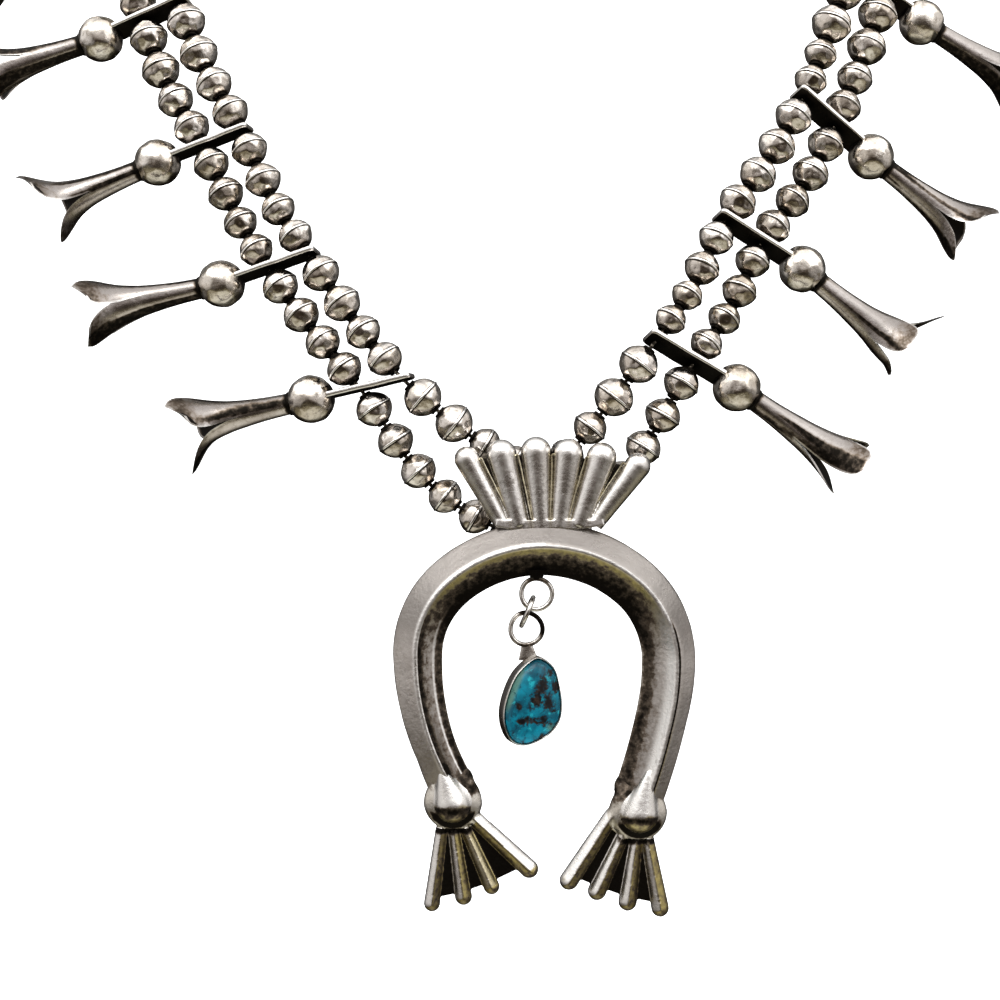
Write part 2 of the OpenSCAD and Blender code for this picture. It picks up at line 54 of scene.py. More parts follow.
# From the chest to the row frame, and the grain of a melted skin, in mm
SHIFT = Vector((0, -134.75, -165))
SKIN_VOXEL = 0.2

# helpers


def place(points):
    return [tuple((Vector(p) + SHIFT) / 1000) for p in points]


def chest(vertex):
    """A mesh vertex in chest millimetres."""
    return vertex.co * 1000 - SHIFT


def sin(degrees):
    return math.sin(math.radians(degrees))


def cos(degrees):
    return math.cos(math.radians(degrees))


def circle(n):
    """The angles of n points round a circle, in radians."""
    return [2 * math.pi * k / n for k in range(n)]


def write_layers(mesh, **layers):
    """Numbers at each vertex, which the materials read by name."""
    for key, values in layers.items():
        layer = mesh.attributes.get(key) or mesh.attributes.new(key, "FLOAT", "POINT")
        layer.data.foreach_set("value", np.asarray(values, np.float32))


def piece(name, shape, materials, nodes, angle):
    """A mesh piece on the body root, from a shape in chest millimetres. Its faces meet sharply
    past the angle."""
    mesh = bpy.data.meshes.new(name)
    mesh.from_pydata(place(shape.v), [], [tuple(f) for f in shape.f])
    for m in materials:
        mesh.materials.append(m)
    mesh.polygons.foreach_set("material_index", shape.mat)
    write_layers(mesh, tone=shape.tone, warm=shape.warm)
    mesh.validate()
    mesh.update()
    o = bpy.data.objects.new(name, mesh)
    bpy.context.scene.collection.objects.link(o)
    bm = bmesh.new()
    bm.from_mesh(mesh)
    bmesh.ops.recalc_face_normals(bm, faces=bm.faces)
    bm.to_mesh(mesh)
    bm.free()
    mesh.shade_smooth()
    mesh.set_sharp_from_angle(angle=math.radians(angle))
    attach(o, "root")
    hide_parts(*nodes)
    return o


class Shape:
    """Several closed shells that make one piece: vertices, faces, the dark oxide and painted shade
    (tone) and the brassy tint, mostly painted reflection, or, below 0, the white polish and painted
    highlight (warm) at each vertex, and the material of each face."""

    def __init__(self):
        self.v, self.f, self.tone, self.warm, self.mat = [], [], [], [], []

    def add(self, verts, faces, tone=0.0, warm=0.0, mat=0):
        """Adds a shell. A single tone or warm goes to all its vertices."""
        start = len(self.v)
        self.v += [tuple(p) for p in verts]
        self.f += [[i + start for i in f] for f in faces]
        for values, new in ((self.tone, tone), (self.warm, warm)):
            values += [new] * len(verts) if isinstance(new, float) else new
        self.mat += [mat] * len(faces)

    def build(self, name, materials, nodes, angle=40):
        return piece(name, self, materials, nodes, angle)


def rings_mesh(rings, closed_ends=True):
    """Faces of a closed tube through rings with the same number of points."""
    n, m = len(rings), len(rings[0])
    faces = [
        (i * m + k, i * m + (k + 1) % m, (i + 1) * m + (k + 1) % m, (i + 1) * m + k)
        for i in range(n - 1)
        for k in range(m)
    ]
    if closed_ends:
        faces.append(tuple(range(m - 1, -1, -1)))
        faces.append(tuple((n - 1) * m + k for k in range(m)))
    else:
        faces += [((n - 1) * m + k, (n - 1) * m + (k + 1) % m, (k + 1) % m, k) for k in range(m)]
    return [p for ring in rings for p in ring], faces


def basis(direction):
    d = Vector(direction).normalized()
    a = d.cross(Vector((0, 1, 0)) if abs(d.y) < 0.9 else Vector((1, 0, 0))).normalized()
    return d, a, d.cross(a)


def lathe(profile, sides, matrix):
    """Turned shell about the matrix's z axis: (radius, height) rows from the lower pole to the
    upper one."""
    rings = []
    for r, h in profile:
        r = max(r, 1e-4)
        rings.append([matrix @ Vector((r * math.cos(t), r * math.sin(t), h)) for t in circle(sides)])
    return rings_mesh(rings)


def ring_lathe(section, sides, matrix):
    """Turned ring: a closed section of (radius, height) points."""
    rings = []
    for t in circle(sides):
        rings.append([matrix @ Vector((r * math.cos(t), r * math.sin(t), h)) for r, h in section])
    return rings_mesh(rings, closed_ends=False)


def tube(points, radius, sides):
    """A round wire through the points."""
    rings = []
    a = basis(points[1] - points[0])[1]
    for i, p in enumerate(points):
        d = (points[min(i + 1, len(points) - 1)] - points[max(i - 1, 0)]).normalized()
        a = (a - d * a.dot(d)).normalized()
        b = d.cross(a)
        rings.append([p + (a * math.cos(t) + b * math.sin(t)) * radius for t in circle(sides)])
    return rings_mesh(rings)


def along(point, direction):
    """A frame at the point whose z axis is the direction."""
    d = Vector(direction).normalized()
    return Matrix.Translation(Vector(point)) @ d.to_track_quat("Z", "Y").to_matrix().to_4x4()


def turn(x=0, y=0, z=0):
    """A rotation by degrees about x, then y, then z."""
    return Euler((math.radians(x), math.radians(y), math.radians(z))).to_matrix().to_4x4()


def smooth(a, b, x):
    """An eased step: 0 at a, 1 at b."""
    t = min(max((x - a) / (b - a), 0), 1)
    return t * t * (3 - 2 * t)


def rough_noise(p, scale, seed=0.0):
    return noise.noise(Vector(p) * scale + Vector((seed, seed * 1.7, -seed)))


def modify(o, kind, **settings):
    """Adds a modifier to a piece and applies it."""
    bpy.context.view_layer.objects.active = o
    m = o.modifiers.new(kind, kind)
    for key, value in settings.items():
        setattr(m, key, value)
    bpy.ops.object.modifier_apply(modifier=m.name)


def remesh(o, smoothing):
    """Melts the shells of a piece into one skin, as solder and casting do."""
    modify(o, "REMESH", mode="VOXEL", voxel_size=SKIN_VOXEL / 1000, use_smooth_shade=True)
    modify(o, "SMOOTH", factor=0.5, iterations=smoothing)


def soften(o, share, rounds):
    """Smooths the part of a piece that share(p) picks, as filing does."""
    group = o.vertex_groups.new(name="soft")
    for v in o.data.vertices:
        w = share(chest(v))
        if w > 0:
            group.add([v.index], w, "REPLACE")
    modify(o, "SMOOTH", factor=0.5, iterations=rounds, vertex_group=group.name)


def retone(o, rule):
    """Writes the oxide and warm tints of a piece from its vertices: rule(p, normal) in chest mm."""
    pairs = [rule(chest(v), v.normal) for v in o.data.vertices]
    write_layers(o.data, tone=[t for t, _ in pairs], warm=[w for _, w in pairs])


# materials


def rgb(r, g, b):
    return (r, g, b, 1.0)


def connect(tree, socket, value):
    """A link where the value is another node's output, else the socket's own value."""
    if isinstance(value, bpy.types.NodeSocket):
        tree.links.new(value, socket)
    else:
        socket.default_value = value


def add_node(tree, kind, inputs=None, **props):
    n = tree.nodes.new("ShaderNode" + kind)
    for k, v in props.items():
        setattr(n, k, v)
    for k, v in (inputs or {}).items():
        connect(tree, n.inputs[k], v)
    return n


class Graph:
    """A material's nodes, joined to one Principled shader."""

    def __init__(self, name):
        self.m = bpy.data.materials.new(name)
        self.m.use_nodes = True
        self.t = self.m.node_tree
        self.t.nodes.clear()
        self.out = self.t.nodes.new("ShaderNodeOutputMaterial")
        self.bsdf = self.t.nodes.new("ShaderNodeBsdfPrincipled")
        self.t.links.new(self.bsdf.outputs[0], self.out.inputs["Surface"])
        self.coord = self.t.nodes.new("ShaderNodeTexCoord").outputs["Object"]

    def node(self, kind, inputs=None, **props):
        return add_node(self.t, kind, inputs, **props)

    def shade(self, **values):
        """Sets the shader's inputs: base_color stands for Base Color."""
        for key, value in values.items():
            name = key.replace("_", " ").title().replace("Ior", "IOR")
            connect(self.t, self.bsdf.inputs[name], value)

    def noise(self, scale, detail=4, rough=0.5, coord=None):
        inputs = {"Vector": coord or self.coord, "Scale": scale, "Detail": detail, "Roughness": rough}
        return self.node("TexNoise", inputs).outputs["Fac"]

    def voronoi(self, scale, feature="F1", coord=None):
        n = self.node("TexVoronoi", {"Vector": coord or self.coord, "Scale": scale}, feature=feature)
        return n.outputs["Distance"]

    def math(self, op, a, b, clamp=False):
        return self.node("Math", {0: a, 1: b}, operation=op, use_clamp=clamp).outputs[0]

    def add(self, a, b):
        return self.math("ADD", a, b)

    def times(self, a, b, clamp=False):
        return self.math("MULTIPLY", a, b, clamp)

    def range(self, value, low, high, to_low=0.0, to_high=1.0, eased=False):
        inputs = {"Value": value, "From Min": low, "From Max": high, "To Min": to_low, "To Max": to_high}
        kind = "SMOOTHSTEP" if eased else "LINEAR"
        return self.node("MapRange", inputs, interpolation_type=kind).outputs["Result"]

    def mix(self, share, a, b):
        return self.node("Mix", {0: share, 6: a, 7: b}, data_type="RGBA", clamp_factor=True).outputs[2]

    def attribute(self, name):
        return self.node("Attribute", attribute_name=name).outputs["Fac"]

    def bump(self, height, distance, strength=1.0, under=None):
        inputs = {"Height": height, "Distance": distance / 1000, "Strength": strength}
        if under is not None:
            inputs["Normal"] = under
        return self.node("Bump", inputs).outputs["Normal"]


TARNISH = rgb(0.30, 0.26, 0.21)
# Painted shade for what faces up
TOP_SHADE_GREY = rgb(0.27, 0.25, 0.235)
# Brassy tint, mostly painted reflection
BRASSY = rgb(0.50, 0.42, 0.17)
# White of polish and painted highlight
POLISH_AND_HIGHLIGHT = rgb(0.97, 0.96, 0.94)
# Oxide and painted shade
OXIDE_AND_SHADE_BROWN = rgb(0.17, 0.135, 0.105)
OXIDE_AND_SHADE_BLACK = rgb(0.012, 0.010, 0.008)


def silver(
    name, light, grey, rough=(0.2, 0.42), hammer=0.0, hammer_scale=420, grain=0.015, wave=0.05,
    patches=0.5, spots=0.5, top_shade=0.0,
):
    """Worn silver: satin metal with soft patches of tarnish, dark oxide in the low places with painted shade
    where the tone attribute says, a brassy tint that is mostly painted reflection and a white polish and
    painted highlight where the warm attribute says, fine scratches and, where hammer is given, the facets
    of hand work. top_shade paints shade on what faces up."""
    g = Graph(name)
    tone, warm = g.attribute("tone"), g.attribute("warm")
    fine = g.noise(900, 5, 0.6)
    base = g.mix(g.range(g.noise(130, 4, 0.55), 0.35, 0.68), light, grey)
    base = g.mix(g.times(g.range(fine, 0.5, 0.72), patches), base, TARNISH)
    # Painted shade: what faces up is darkened towards a flat grey.
    if top_shade:
        up = g.node("SeparateXYZ", {0: g.node("NewGeometry").outputs["Normal"]}).outputs[2]
        base = g.mix(g.times(g.range(up, -0.15, 0.25, eased=True), top_shade), base, TOP_SHADE_GREY)
    # Where warm is above 0, a brassy tint that is mostly painted reflection; below 0, polish and painted
    # highlight.
    base = g.mix(warm, base, BRASSY)
    base = g.mix(g.range(warm, 0.0, -1.0), base, POLISH_AND_HIGHLIGHT)
    # Oxide and painted shade from the tone attribute, broken up by fine noise.
    ragged = g.add(g.times(tone, 1.25), g.times(g.add(fine, -0.5), 0.9))
    dark = g.times(g.range(ragged, 0.12, 0.85, eased=True), g.range(tone, 0.0, 0.12))
    pits = g.times(g.range(g.noise(2600, 3, 0.6), 0.66, 0.76), spots)
    dark = g.math("MAXIMUM", dark, g.times(pits, 0.6))
    base = g.mix(g.times(dark, 1.7, clamp=True), base, OXIDE_AND_SHADE_BROWN)
    base = g.mix(g.range(dark, 0.45, 1.0), base, OXIDE_AND_SHADE_BLACK)
    normal = g.bump(g.noise(150, 3, 0.5), wave * 4)
    if hammer:
        inputs = {"Vector": g.coord, "Scale": hammer_scale, "Smoothness": 0.35}
        facets = g.node("TexVoronoi", inputs, feature="SMOOTH_F1").outputs["Distance"]
        normal = g.bump(facets, hammer * 3, 1.0, normal)
    normal = g.bump(g.noise(1500, 4, 0.6), grain * 3, 1.0, normal)
    scratches = {"Vector": g.coord, "Rotation": (0.5, 0.3, 0.9), "Scale": (180, 3200, 1400)}
    stretched = g.node("Mapping", scratches).outputs[0]
    normal = g.bump(g.noise(1.0, 2, 0.5, stretched), 0.02, 0.6, normal)
    satin = g.range(g.noise(300, 5, 0.6), 0.3, 0.7, *rough)
    g.shade(base_color=base, metallic=1.0, roughness=g.add(satin, g.times(dark, 0.25)), normal=normal)
    return g.m


STONE_BLUE = rgb(0.001, 0.15, 0.215)
STONE_DEEP = rgb(0.001, 0.055, 0.085)
STONE_PALE = rgb(0.015, 0.33, 0.38)
STONE_GREEN = rgb(0.075, 0.16, 0.12)
VEIN = rgb(0.003, 0.012, 0.022)
SMOKE = rgb(0.003, 0.026, 0.042)
MATRIX_BLACK = rgb(0.003, 0.003, 0.004)
MATRIX_BROWN = rgb(0.028, 0.016, 0.010)


def turquoise():
    """Deep blue-green stone with black matrix that runs through it in ragged patches and threads."""
    g = Graph("turquoise_stone")
    swirl = g.node("TexNoise", {"Vector": g.coord, "Scale": 420, "Detail": 5}).outputs["Color"]
    push = g.node("VectorMath", {0: swirl, 1: (0.0028, 0.0028, 0.0028)}, operation="MULTIPLY").outputs[0]
    ragged = g.node("VectorMath", {0: g.coord, 1: push}, operation="ADD").outputs[0]
    body = g.mix(g.range(g.noise(260, 5, 0.6), 0.36, 0.60), STONE_BLUE, STONE_DEEP)
    body = g.mix(g.range(g.noise(560, 5, 0.6, ragged), 0.56, 0.72), body, STONE_PALE)
    body = g.mix(g.attribute("green"), body, STONE_GREEN)
    patch = g.attribute("matrix")
    cloud = g.range(g.noise(430, 8, 0.7, ragged), 0.27, 0.73)
    near = g.range(g.add(cloud, g.times(g.range(patch, 0.0, 0.7), 0.3)), 0.50, 0.80)
    veins = g.times(g.range(g.voronoi(560, "DISTANCE_TO_EDGE", ragged), 0.12, 0.02), near)
    body = g.mix(g.times(veins, 0.85), body, VEIN)
    smoke = g.range(g.add(g.times(patch, 0.5), cloud), 0.60, 0.95)
    body = g.mix(g.times(smoke, 0.9), body, SMOKE)
    matrix = g.range(g.add(g.times(patch, 0.6), cloud), 0.80, 0.90)
    brown = g.mix(g.range(g.noise(900, 5, 0.6), 0.5, 0.7), MATRIX_BLACK, MATRIX_BROWN)
    normal = g.bump(g.times(matrix, -1.0), 0.04, 0.6)
    normal = g.bump(g.noise(200, 2), 0.2, 0.5, normal)
    g.shade(base_color=g.mix(matrix, body, brown), roughness=g.range(matrix, 0, 1, 0.16, 0.3), normal=normal)
    g.shade(ior=1.45, specular_ior_level=0.25, coat_weight=0.12, coat_roughness=0.04)
    return g.m


def foxtail():
    """The braided wire thread: dark between its bright strands."""
    g = Graph("foxtail_thread")
    braid = g.voronoi(1900)
    colour = g.mix(g.range(braid, 0.2, 0.6), rgb(0.42, 0.37, 0.30), rgb(0.03, 0.025, 0.02))
    rough = g.range(g.noise(1200), 0.3, 0.7, 0.35, 0.55)
    g.shade(base_color=colour, metallic=1.0, roughness=rough, normal=g.bump(braid, -0.12))
    return g.m


CAST = silver(
    "cast_silver", rgb(0.76, 0.72, 0.69), rgb(0.60, 0.56, 0.53), (0.24, 0.38),
    wave=0.03, grain=0.03, patches=0.40, top_shade=0.9,
)
FAN = silver(
    "fan_silver", rgb(0.88, 0.86, 0.84), rgb(0.66, 0.63, 0.60), (0.20, 0.34),
    grain=0.02, patches=0.25,
)
BEAD = silver(
    "bead_silver", rgb(0.93, 0.89, 0.85), rgb(0.55, 0.48, 0.40), (0.10, 0.24),
    hammer=0.10, hammer_scale=520, patches=0.75, spots=0.8,
)
BALL = silver(
    "ball_silver", rgb(0.94, 0.90, 0.85), rgb(0.60, 0.53, 0.44), (0.10, 0.22),
    hammer=0.07, hammer_scale=400, patches=0.7, spots=0.7,
)
PETAL = silver(
    "petal_silver", rgb(0.78, 0.73, 0.71), rgb(0.40, 0.35, 0.33), (0.19, 0.30),
    wave=0.02, patches=0.7, spots=0.8, top_shade=0.85,
)
WIRE = silver("wire_silver", rgb(0.86, 0.84, 0.81), rgb(0.62, 0.59, 0.55), (0.12, 0.24), patches=0.3)
STONE = turquoise()
THREAD = foxtail()

# naja

# The arcs of the ridge from the top of the horseshoe down each leg: radius, sweep in degrees
LEFT_ARCS = ((29.1, 40), (19.3, 50), (51.0, 30))
RIGHT_ARCS = ((29.1, 40), (21.6, 50), (50.0, 12), (130.0, 8))
NAJA_X, RIDGE_Z = 0.8, -9.1
# The band along each leg: degrees from the top, outer half, inner half, height of the ridge
LEFT_BAND = ((0, 4.8, 5.9, 4.6), (90, 4.6, 5.3, 4.6), (113, 4.0, 4.4, 4.3), (120, 4.6, 4.3, 4.0))
RIGHT_BAND = ((0, 4.8, 5.9, 4.6), (90, 3.8, 6.9, 4.6), (106, 3.3, 6.9, 4.3), (110, 3.2, 6.8, 4.0))


def rows_at(rows, at):
    """The row of a table at one place, straight between its rows."""
    for low, high in zip(rows, rows[1:]):
        if at <= high[0]:
            u = min(max((at - low[0]) / (high[0] - low[0]), 0), 1)
            return [p * (1 - u) + q * u for p, q in zip(low[1:], high[1:])]
    return list(rows[-1][1:])


def leg_line(arcs, step):
    """Points of the ridge down one leg: x, z, degrees from the top."""
    points, x, z, a0 = [(0.0, RIDGE_Z, 0.0)], 0.0, RIDGE_Z, 0.0
    for r, sweep in arcs:
        n = round(sweep / step)
        for j in range(1, n + 1):
            a = a0 + sweep * j / n
            points.append((x + r * (sin(a) - sin(a0)), z - r * (cos(a0) - cos(a)), a))
        x, z, a0 = points[-1]
    return points


# The band's section from the outer foot over the ridge to the inner foot: side of the ridge, share
# of the half width, share of the height
SECTION = (
    (1, 1.0, 0.0), (1, 1.0, 0.13), (1, 0.985, 0.19), (1, 0.94, 0.245), (1, 0.82, 0.35), (1, 0.66, 0.49),
    (1, 0.50, 0.63), (1, 0.36, 0.75), (1, 0.24, 0.855), (1, 0.17, 0.915), (1, 0.12, 0.95),
    (1, 0.075, 0.975), (1, 0.03, 0.995), (-1, 0.03, 1.0), (-1, 0.075, 0.985), (-1, 0.105, 0.945),
    (-1, 0.15, 0.88), (-1, 0.20, 0.81), (-1, 0.27, 0.72), (-1, 0.34, 0.63), (-1, 0.42, 0.54),
    (-1, 0.50, 0.46), (-1, 0.55, 0.425), (-1, 0.60, 0.39), (-1, 0.66, 0.345), (-1, 0.74, 0.30),
    (-1, 0.84, 0.25), (-1, 0.93, 0.21), (-1, 1.0, 0.13), (-1, 1.0, 0.0),
)
# Oxide with painted shade, and warmth (a brassy painted reflection above 0, polish and painted
# highlight below 0), across the inner face, from the ridge to the edge, at the top and on each leg: share
# of the half width, oxide and painted shade, warmth
INNER_TOP = (
    (0.03, 0.0, -1.0), (0.08, 0.08, 0.6), (0.12, 0.2, 1.0), (0.24, 0.36, 1.0), (0.36, 0.5, 0.7),
    (0.6, 0.6, 0.35), (0.85, 0.72, 0.1), (1.0, 0.95, 0.0),
)
INNER_LEFT = (
    (0.03, 0.0, -1.0), (0.07, 0.0, -1.0), (0.10, 0.62, 0.2), (0.24, 0.56, 0.2), (0.30, 0.34, 0.0),
    (0.60, 0.30, 0.0), (0.66, 0.0, -0.9), (0.73, 0.5, 0.1), (0.9, 0.58, 0.1), (1.0, 0.4, 0.0),
)
INNER_RIGHT = (
    (0.03, 0.0, -1.0), (0.20, 0.0, -1.0), (0.30, 0.0, -0.6), (0.37, 0.14, 0.0), (0.58, 0.22, 0.0),
    (0.68, 0.46, 0.0), (0.86, 0.52, 0.1), (0.95, 0.4, 0.2), (1.0, 0.3, 0.0),
)


def leg_tone(side, share, a):
    """Oxide with painted shade, and warmth with a brassy painted reflection and a white polish and painted
    highlight along the ridge, on the band: the two legs reflect and wear differently.
    """
    # The brassy streak on the right leg's outer face is a painted reflection; the white by the ridge is
    # polish and painted highlight.
    if side > 0 and a > 0:
        groove = smooth(62, 78, a) * smooth(0.02, 0.05, share) * smooth(0.17, 0.12, share)
        brassy = 0.9 * smooth(100, 106, a) * smooth(0.09, 0.12, share) * smooth(0.2, 0.15, share)
        return 0.9 * groove, brassy - 0.8 * smooth(0.06, 0.02, share)
    if side > 0:
        return 0.0, -0.9 * smooth(0.14, 0.09, share)
    top = rows_at(INNER_TOP, share)
    leg = rows_at(INNER_RIGHT if a > 0 else INNER_LEFT, share)
    u = smooth(42, 88, abs(a))
    return top[0] * (1 - u) + leg[0] * u, top[1] * (1 - u) + leg[1] * u


def horseshoe():
    """The band with its blunt ridge, hollowed beside the ridge on the right leg."""
    left = [(-x, z, -a) for x, z, a in leg_line(LEFT_ARCS, 1.25)]
    line = left[:0:-1] + leg_line(RIGHT_ARCS, 1.0)
    rings, tone, warm = [], [], []
    for x, z, a in line:
        out = Vector((sin(a), 0, cos(a)))
        ridge = Vector((x + NAJA_X, 0, z))
        outer, inner, h = rows_at(RIGHT_BAND if a > 0 else LEFT_BAND, abs(a))
        ring = []
        for side, share, rise in SECTION:
            p = ridge + out * (side * share * (outer if side > 0 else inner)) + Vector((0, -h * rise, 0))
            wobble = rough_noise(p, 0.11, 3.1) * 0.16 + rough_noise(p, 0.35, 7.7) * 0.06
            if rise > 0.2:
                p.y -= wobble
                if a > 0 and side > 0:
                    p.y += 0.28 * smooth(62, 78, a) * smooth(0.03, 0.075, share) * smooth(0.2, 0.13, share)
            else:
                p += out * wobble * 0.5 * side
            ring.append(p)
            t, w = leg_tone(side, share, a)
            stain = smooth(105, 116, abs(a)) if a < 0 else smooth(98, 107, a)
            t += 0.5 * stain * max(0.0, rough_noise(p, 0.45, 12.0) + 0.1) * (1.0 if side < 0 else 0.6)
            tone.append(min(t, 1.0))
            warm.append(w)
        rings.append(ring)
    s = Shape()
    s.add(*rings_mesh(rings), tone, warm)
    s.build("naja_horseshoe", [CAST], ["naja"], angle=34)


class Rib:
    """A rib of a fan: x, z of the root, x, z of the tip's middle, radius at root and at tip."""

    def __init__(self, root_x, root_z, tip_x, tip_z, root_r, tip_r):
        self.root, self.tip = Vector((root_x, 0, root_z)), Vector((tip_x, 0, tip_z))
        self.root_r, self.tip_r = root_r, tip_r
        self.run = self.tip - self.root
        self.side = Vector((self.run.z, 0, -self.run.x)).normalized()

    def radius(self, share):
        return self.root_r + (self.tip_r - self.root_r) * share


CROWN = (
    Rib(-7.4, -4.9, -14.6, 8.2, 1.75, 2.55), Rib(-4.0, -5.1, -7.7, 9.1, 2.1, 3.05),
    Rib(0.3, -5.2, -0.8, 9.6, 1.95, 3.1), Rib(3.8, -5.2, 5.6, 9.2, 1.95, 3.1),
    Rib(7.6, -5.1, 12.3, 8.5, 2.1, 3.05), Rib(10.8, -4.9, 19.5, 6.8, 1.8, 2.65),
)
FEET = (
    (Rib(-19.6, -65.5, -21.6, -80.6, 1.3, 1.65), Rib(-17.2, -66.0, -15.3, -79.2, 1.3, 1.75),
     Rib(-15.0, -65.4, -9.7, -77.2, 1.25, 1.65), Rib(-13.4, -63.3, -2.2, -73.7, 1.6, 1.9)),
    (Rib(14.7, -62.4, 5.8, -76.0, 1.6, 1.95), Rib(16.8, -66.4, 11.4, -78.1, 1.4, 1.9),
     Rib(19.2, -67.8, 17.5, -80.2, 1.4, 1.9), Rib(21.4, -67.6, 24.0, -81.5, 1.4, 1.8)),
)
# Middles of the feet's balls and of the swellings under them: x, z
FOOT_BALLS = ((-17.4, -60.5), (19.8, -62.5))
LOBES = ((-17.4, -60.0), (19.5, -62.1))
# Where the inner edge of each leg swells into the lobe: x, z, radius
SHOULDERS = ((-16.3, -55.9, 3.2), (17.6, -57.2, 3.0))


def rib(shape, row, height=1.0, ridge=0.0):
    """A rib that widens to a rounded tip, flat behind, round or with a blunt ridge in front."""
    length, d = row.run.length, row.run.normalized()
    stations = [(k / 16 * length, row.radius((k / 16) ** 1.1)) for k in range(17)]
    for q in (12, 24, 36, 48, 60, 70, 79, 86):
        stations.append((length + row.tip_r * sin(q), row.tip_r * cos(q)))
    rings = []
    for s, r in stations:
        ring = []
        for t in circle(28):
            y = -math.sin(t) * r * height
            if y > 0:
                y *= 0.05
            elif ridge:
                peak = (1 - abs(math.cos(t))) * -r * height
                y = y * (1 - ridge) + peak * ridge
            ring.append(row.root + d * s + row.side * (math.cos(t) * r) + Vector((0, y, 0)))
        rings.append(ring)
    shape.add(*rings_mesh(rings))


def slab(shape, outline, y0, y1):
    """A plate with an outline of (x, z) between two depths."""
    n = len(outline)
    v = [(x, y0, z) for x, z in outline] + [(x, y1, z) for x, z in outline]
    f = [tuple(range(n)), tuple(range(2 * n - 1, n - 1, -1))]
    f += [(k, (k + 1) % n, n + (k + 1) % n, n + k) for k in range(n)]
    shape.add(v, f)


def web(shape, ribs, reach, thickness):
    """The plate that joins the ribs of a fan from their roots to a share of their length."""
    line = [row.root for row in ribs] + [row.root + row.run * reach for row in reversed(ribs)]
    slab(shape, [(p.x, p.z) for p in line], 0.0, -thickness)


def fan_tone(ribs, low, high):
    """Oxide in the grooves between the ribs of a fan; a painted olive reflection yellows their undersides
    and the edges of their grooves.
    """

    def rule(p, n):
        best = -9.0
        for row in ribs:
            flat = Vector((p.x, 0, p.z)) - row.root
            t = min(max(flat.dot(row.run) / row.run.length_squared, 0), 1.1)
            best = max(best, 1 - (flat - row.run * t).length / row.radius(t))
        deep = 0.35 + 0.65 * smooth(1.5, 0.6, -p.y)
        t = max(smooth(high, low, best) * 0.95 * deep, 0.25 if p.y > -0.1 else 0.0)
        # A painted olive reflection near the grooves and on what faces down and to the front.
        reflected_tint = 0.2 * smooth(0.4, 0.1, best) + 0.3 * max(0.0, -n.z) * max(0.0, -n.y)
        return min(t, 1.0), reflected_tint

    return rule


# Outline of the lip on which the crown stands: x, z
CROWN_LIP = (
    (-8.7, -4.0), (12.5, -4.0), (12.9, -5.0), (10.2, -5.5), (6.6, -5.9), (3.4, -5.7), (-0.6, -6.05),
    (-3.4, -5.8), (-6, -5.9), (-9.0, -5.3),
)


def crown():
    """The fan of six ribs over the horseshoe: a painted highlight on top and on the ribs' left flanks, and
    a darker painted reflection on their right flanks.
    """
    s = Shape()
    for row in CROWN:
        rib(s, row, height=1.02)
    web(s, CROWN, 0.96, 1.0)
    slab(s, CROWN_LIP, 0.0, -1.9)
    o = s.build("naja_crown", [FAN], ["naja"], angle=60)
    remesh(o, 2)
    grooves = fan_tone(CROWN, -0.02, 0.11)

    def rule(p, n):
        t, w = grooves(p, n)
        # A painted reflection: a darker streak on the ribs' right flanks.
        streak = smooth(0.05, 0.2, n.x) * smooth(0.62, 0.42, n.x)
        streak *= smooth(-3.5, -1.5, p.z) * smooth(8.6, 6.0, p.z)
        # A painted highlight: white on the ribs' left flanks and on their tops.
        worn = smooth(-0.05, -0.2, n.x) * smooth(-0.7, -0.5, n.x) + smooth(7.2, 9.0, p.z) * max(0.0, n.z)
        rough = 0.5 + rough_noise(p, 0.9, 21.0)
        return min(1.0, t + 0.24 * streak * rough), w - 0.75 * min(1.0, worn) * (1 - min(1.0, 3 * t))

    retone(o, rule)


CROWN_WIRE_R = 0.19


def crown_wires():
    """Thin wires that lie in the grooves of the crown and curl over at the top."""
    s = Shape()
    for a, b in zip(CROWN, CROWN[1:]):
        root = Vector(((a.root.x + a.root_r + b.root.x - b.root_r) / 2, -1.2, -3.6))
        tip = (a.tip + a.side * a.tip_r + b.tip - b.side * b.tip_r) / 2
        tip = Vector((tip.x, -1.25, tip.z - 0.9))
        lean = 1 if a.tip.x + b.tip.x > 0 else -1
        pts = [root.lerp(tip, t / 8) for t in range(9)]
        pts = [p + Vector((rough_noise(p, 0.4, 2) * 0.08, 0, 0)) for p in pts]
        for q in range(1, 6):
            w = q / 5 * math.pi
            pts.append(tip + Vector((lean * 0.3 * (1 - math.cos(w)), -0.04 * q, 0.35 * math.sin(w))))
        s.add(*tube(pts, CROWN_WIRE_R, 8), tone=0.22, warm=0.55)
    s.build("naja_crown_wires", [WIRE], ["naja"])


def swelling(shape, x, z, profile, sides):
    """A low dome on the naja's flat back that rises to the front."""
    shape.add(*lathe(profile, sides, Matrix.Translation((x, 0, z)) @ turn(x=90)))


# The swelling on which a foot's ball sits: radius, height
LOBE = (
    (0.0, 0.0), (5.5, 0.0), (5.9, 0.25), (5.95, 0.7), (5.7, 1.3), (5.2, 1.9), (4.5, 2.4), (3.6, 2.8),
    (2.0, 3.1), (0.0, 3.2),
)
DOME_R, DOME_Y = 3.7, -1.7
# Where the ridge of each leg runs into the ball: x, z; and the depth and radius of the point there
RIDGE_ENDS = ((-19.6, -53.4), (21.6, -53.8))
POINT_Y, POINT_R = -3.2, 0.75


